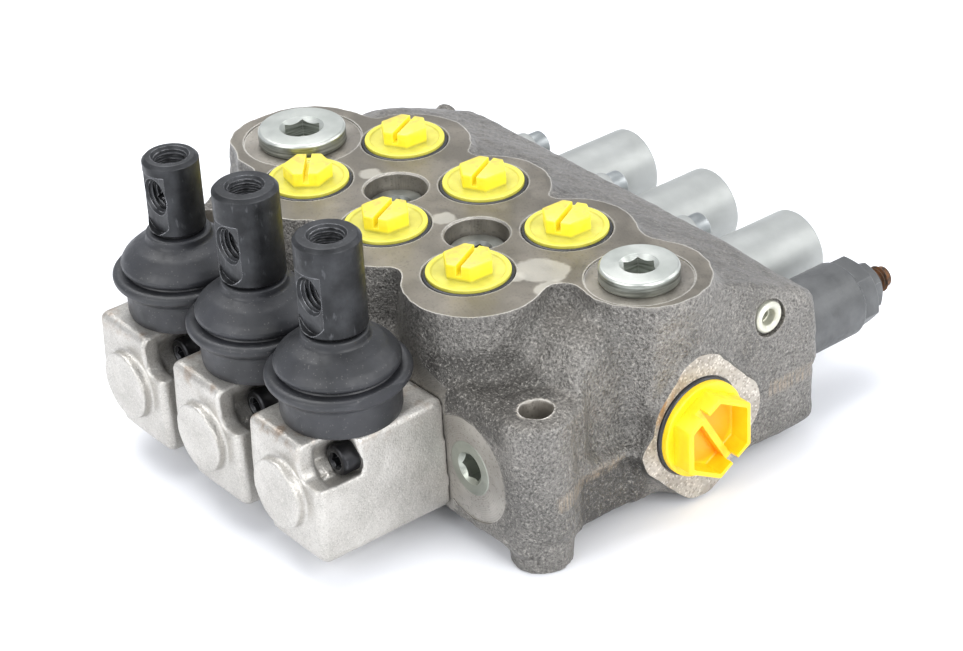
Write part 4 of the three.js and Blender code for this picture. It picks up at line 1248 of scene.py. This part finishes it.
for plug_name, plug in COLLAR_PLUGS.items():
    show(collar_plug(**plug), f"{plug_name}_look", plug_name, replaces=[plug_name])
for n, (x, y) in enumerate(CHECKS, 1):
    show(check_plug(x, y), f"check_plug_{n}_look", "check", replaces=[f"check_plug_{n}"])
show(gallery_plug(), "gallery_plug_look", "gallery", replaces=["gallery_plug"])
show(ring(8.62, 0.36, 0.55, "y", (GALLERY["x"], FRONT_Y, GALLERY["z"])), "gallery_seal", "seal",
     replaces=["gallery_plug_seal"], angle=80)
show(inlet_plug(), "inlet_plug_look", "inlet", replaces=["inlet_plug"])
show(ring(12.9, 1.4, INLET["face"] + 0.15, "x", (0, INLET["y"], INLET["z"]), 0.8), "inlet_seal", "seal",
     replaces=["inlet_plug_seal"], angle=80)
show(gauge_plug(), "gauge_plug_look", "pale", replaces=["gauge_port_plug"])

lever_box = build_lever_box()
for n, section_x in enumerate(SPOOL_X, 1):
    show(moved_copy(lever_box, section_x), f"lever_box_{n}_look", "aluminium",
         replaces=[f"lever_box_{n}"], angle=60)
    for side, place in ((1, "upper"), (-1, "lower")):
        screw = socket_screw(-1, section_x + side * BOX_SCREW["dx"], SPOOL_Z + side * BOX_SCREW["dz"],
                             BOX_SCREW["seat"] - HEAD["h"])
        show(screw, f"box_screw_{n}_{place}_look", "black_screw",
             replaces=[f"box_screw_{n}_{place}"])
        screw = socket_screw(1, section_x - side * CAP["d"], SPOOL_Z + side * CAP["d"],
                             BACK_Y + 0.6 + CAP["flange"] + HEAD["h"])
        show(screw, f"cap_screw_{n}_{place}_look", "zinc_screw",
             replaces=[f"cap_screw_{n}_{place}"])
    bellows = boot(section_x)
    show(bellows, f"boot_{n}_look", "rubber", None, [f"boot_{n}"], 50)
    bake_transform(bellows)
    show(lever(section_x, LEVER_TOPS[n - 1], LEVER_R[n - 1]), f"lever_{n}_look", "lever",
         f"lever_{n}", [f"lever_{n}"])
    show(spring_cap(section_x), f"spring_cap_{n}_look", "zinc_cap",
         replaces=[f"spring_cap_{n}"])
    repaint(f"ball_seat_{n}", "black_screw")
    repaint(f"spool_{n}", "ground")
bpy.data.objects.remove(lever_box)

show(relief_cartridge(), "relief_cartridge_look", "relief", replaces=["relief_cartridge"])
show(relief_nut(), "relief_lock_nut_look", "relief", "relief_lock_nut", ["relief_lock_nut"])
show(relief_screw(), "relief_screw_look", "thread", "relief_screw", ["relief_screw"])
for node in ("relief_spring_seat", "relief_poppet", "check_poppet_1", "check_poppet_2"):
    repaint(node, "ground")
for node, (mover, at, sizes) in SPRINGS.items():
    wound = spring(at=at, **sizes)
    show(wound, f"{node}_look", "spring", None, [node], 60)
    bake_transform(wound)


# ---------------------------------------------------------------- floor, light and camera
def studio_floor():
    mesh = bpy.data.meshes.new("floor")
    reach = 6.0
    mesh.from_pydata([(-reach, -reach, 0), (reach, -reach, 0), (reach, reach, 0), (-reach, reach, 0)],
                     [], [(0, 1, 2, 3)])
    floor = bpy.data.objects.new("floor", mesh)
    bpy.context.scene.collection.objects.link(floor)
    f = Finish("studio_floor", 0.7, 0.0)
    base = f.mix(f.noise(180, 2), colour(240, 241, 244), colour(246, 247, 250))
    f.set("Base Color", base)
    mesh.materials.append(f.material)


def soft_light(name, at, aim, size, power, tint=(1, 1, 1)):
    lamp = bpy.data.lights.new(name, "AREA")
    lamp.shape = "SQUARE"
    lamp.size = size
    lamp.energy = power
    lamp.color = tint
    light = bpy.data.objects.new(name, lamp)
    light.location = at
    light.rotation_euler = (Vector(aim) - Vector(at)).to_track_quat("-Z", "Y").to_euler()
    bpy.context.scene.collection.objects.link(light)


# The camera looks from the front right: degrees, a place in the casting frame, and the lens.
VIEW = dict(azimuth=52.355, elevation=31.175, roll=-3.094, at=(553.456, -407.06, 372.854),
            lens=105.84, shift=(-0.01849, 0.0074))


def camera():
    """The camera that takes in the whole valve from its front right."""
    azimuth, elevation, roll = (math.radians(VIEW[a]) for a in ("azimuth", "elevation", "roll"))
    right = Vector((math.cos(azimuth), math.sin(azimuth), 0))
    back = Vector((math.sin(azimuth) * math.cos(elevation), -math.cos(azimuth) * math.cos(elevation),
                   math.sin(elevation)))
    up = back.cross(right)
    across = math.cos(roll) * right + math.sin(roll) * up
    rise = math.cos(roll) * up - math.sin(roll) * right
    lens = bpy.data.cameras.new("camera")
    lens.lens = VIEW["lens"]
    lens.sensor_width = 36
    lens.shift_x, lens.shift_y = VIEW["shift"]
    lens.clip_start = 0.01
    eye = bpy.data.objects.new("camera", lens)
    eye.matrix_world = Matrix.Translation(in_frame(VIEW["at"])) @ Matrix(
        (across, rise, back)).transposed().to_4x4()
    bpy.context.scene.collection.objects.link(eye)
    bpy.context.scene.camera = eye


studio_floor()
soft_light("key", (-0.35, 0.05, 0.95), (0, 0, 0.03), 0.8, 9.5)
soft_light("fill", (0.1, -1.1, 0.6), (0, 0, 0.03), 0.9, 8)
soft_light("side", (1.0, 0.0, 0.6), (0, 0, 0.03), 0.8, 9)
soft_light("back", (0.5, 1.0, 0.6), (0, 0, 0.05), 0.7, 4)
world = bpy.data.worlds.new("studio")
world.use_nodes = True
world.node_tree.nodes["Background"].inputs["Color"].default_value = colour(236, 240, 248)
world.node_tree.nodes["Background"].inputs["Strength"].default_value = 0.75
bpy.context.scene.world = world
bpy.context.scene.view_settings.view_transform = "Standard"
camera()
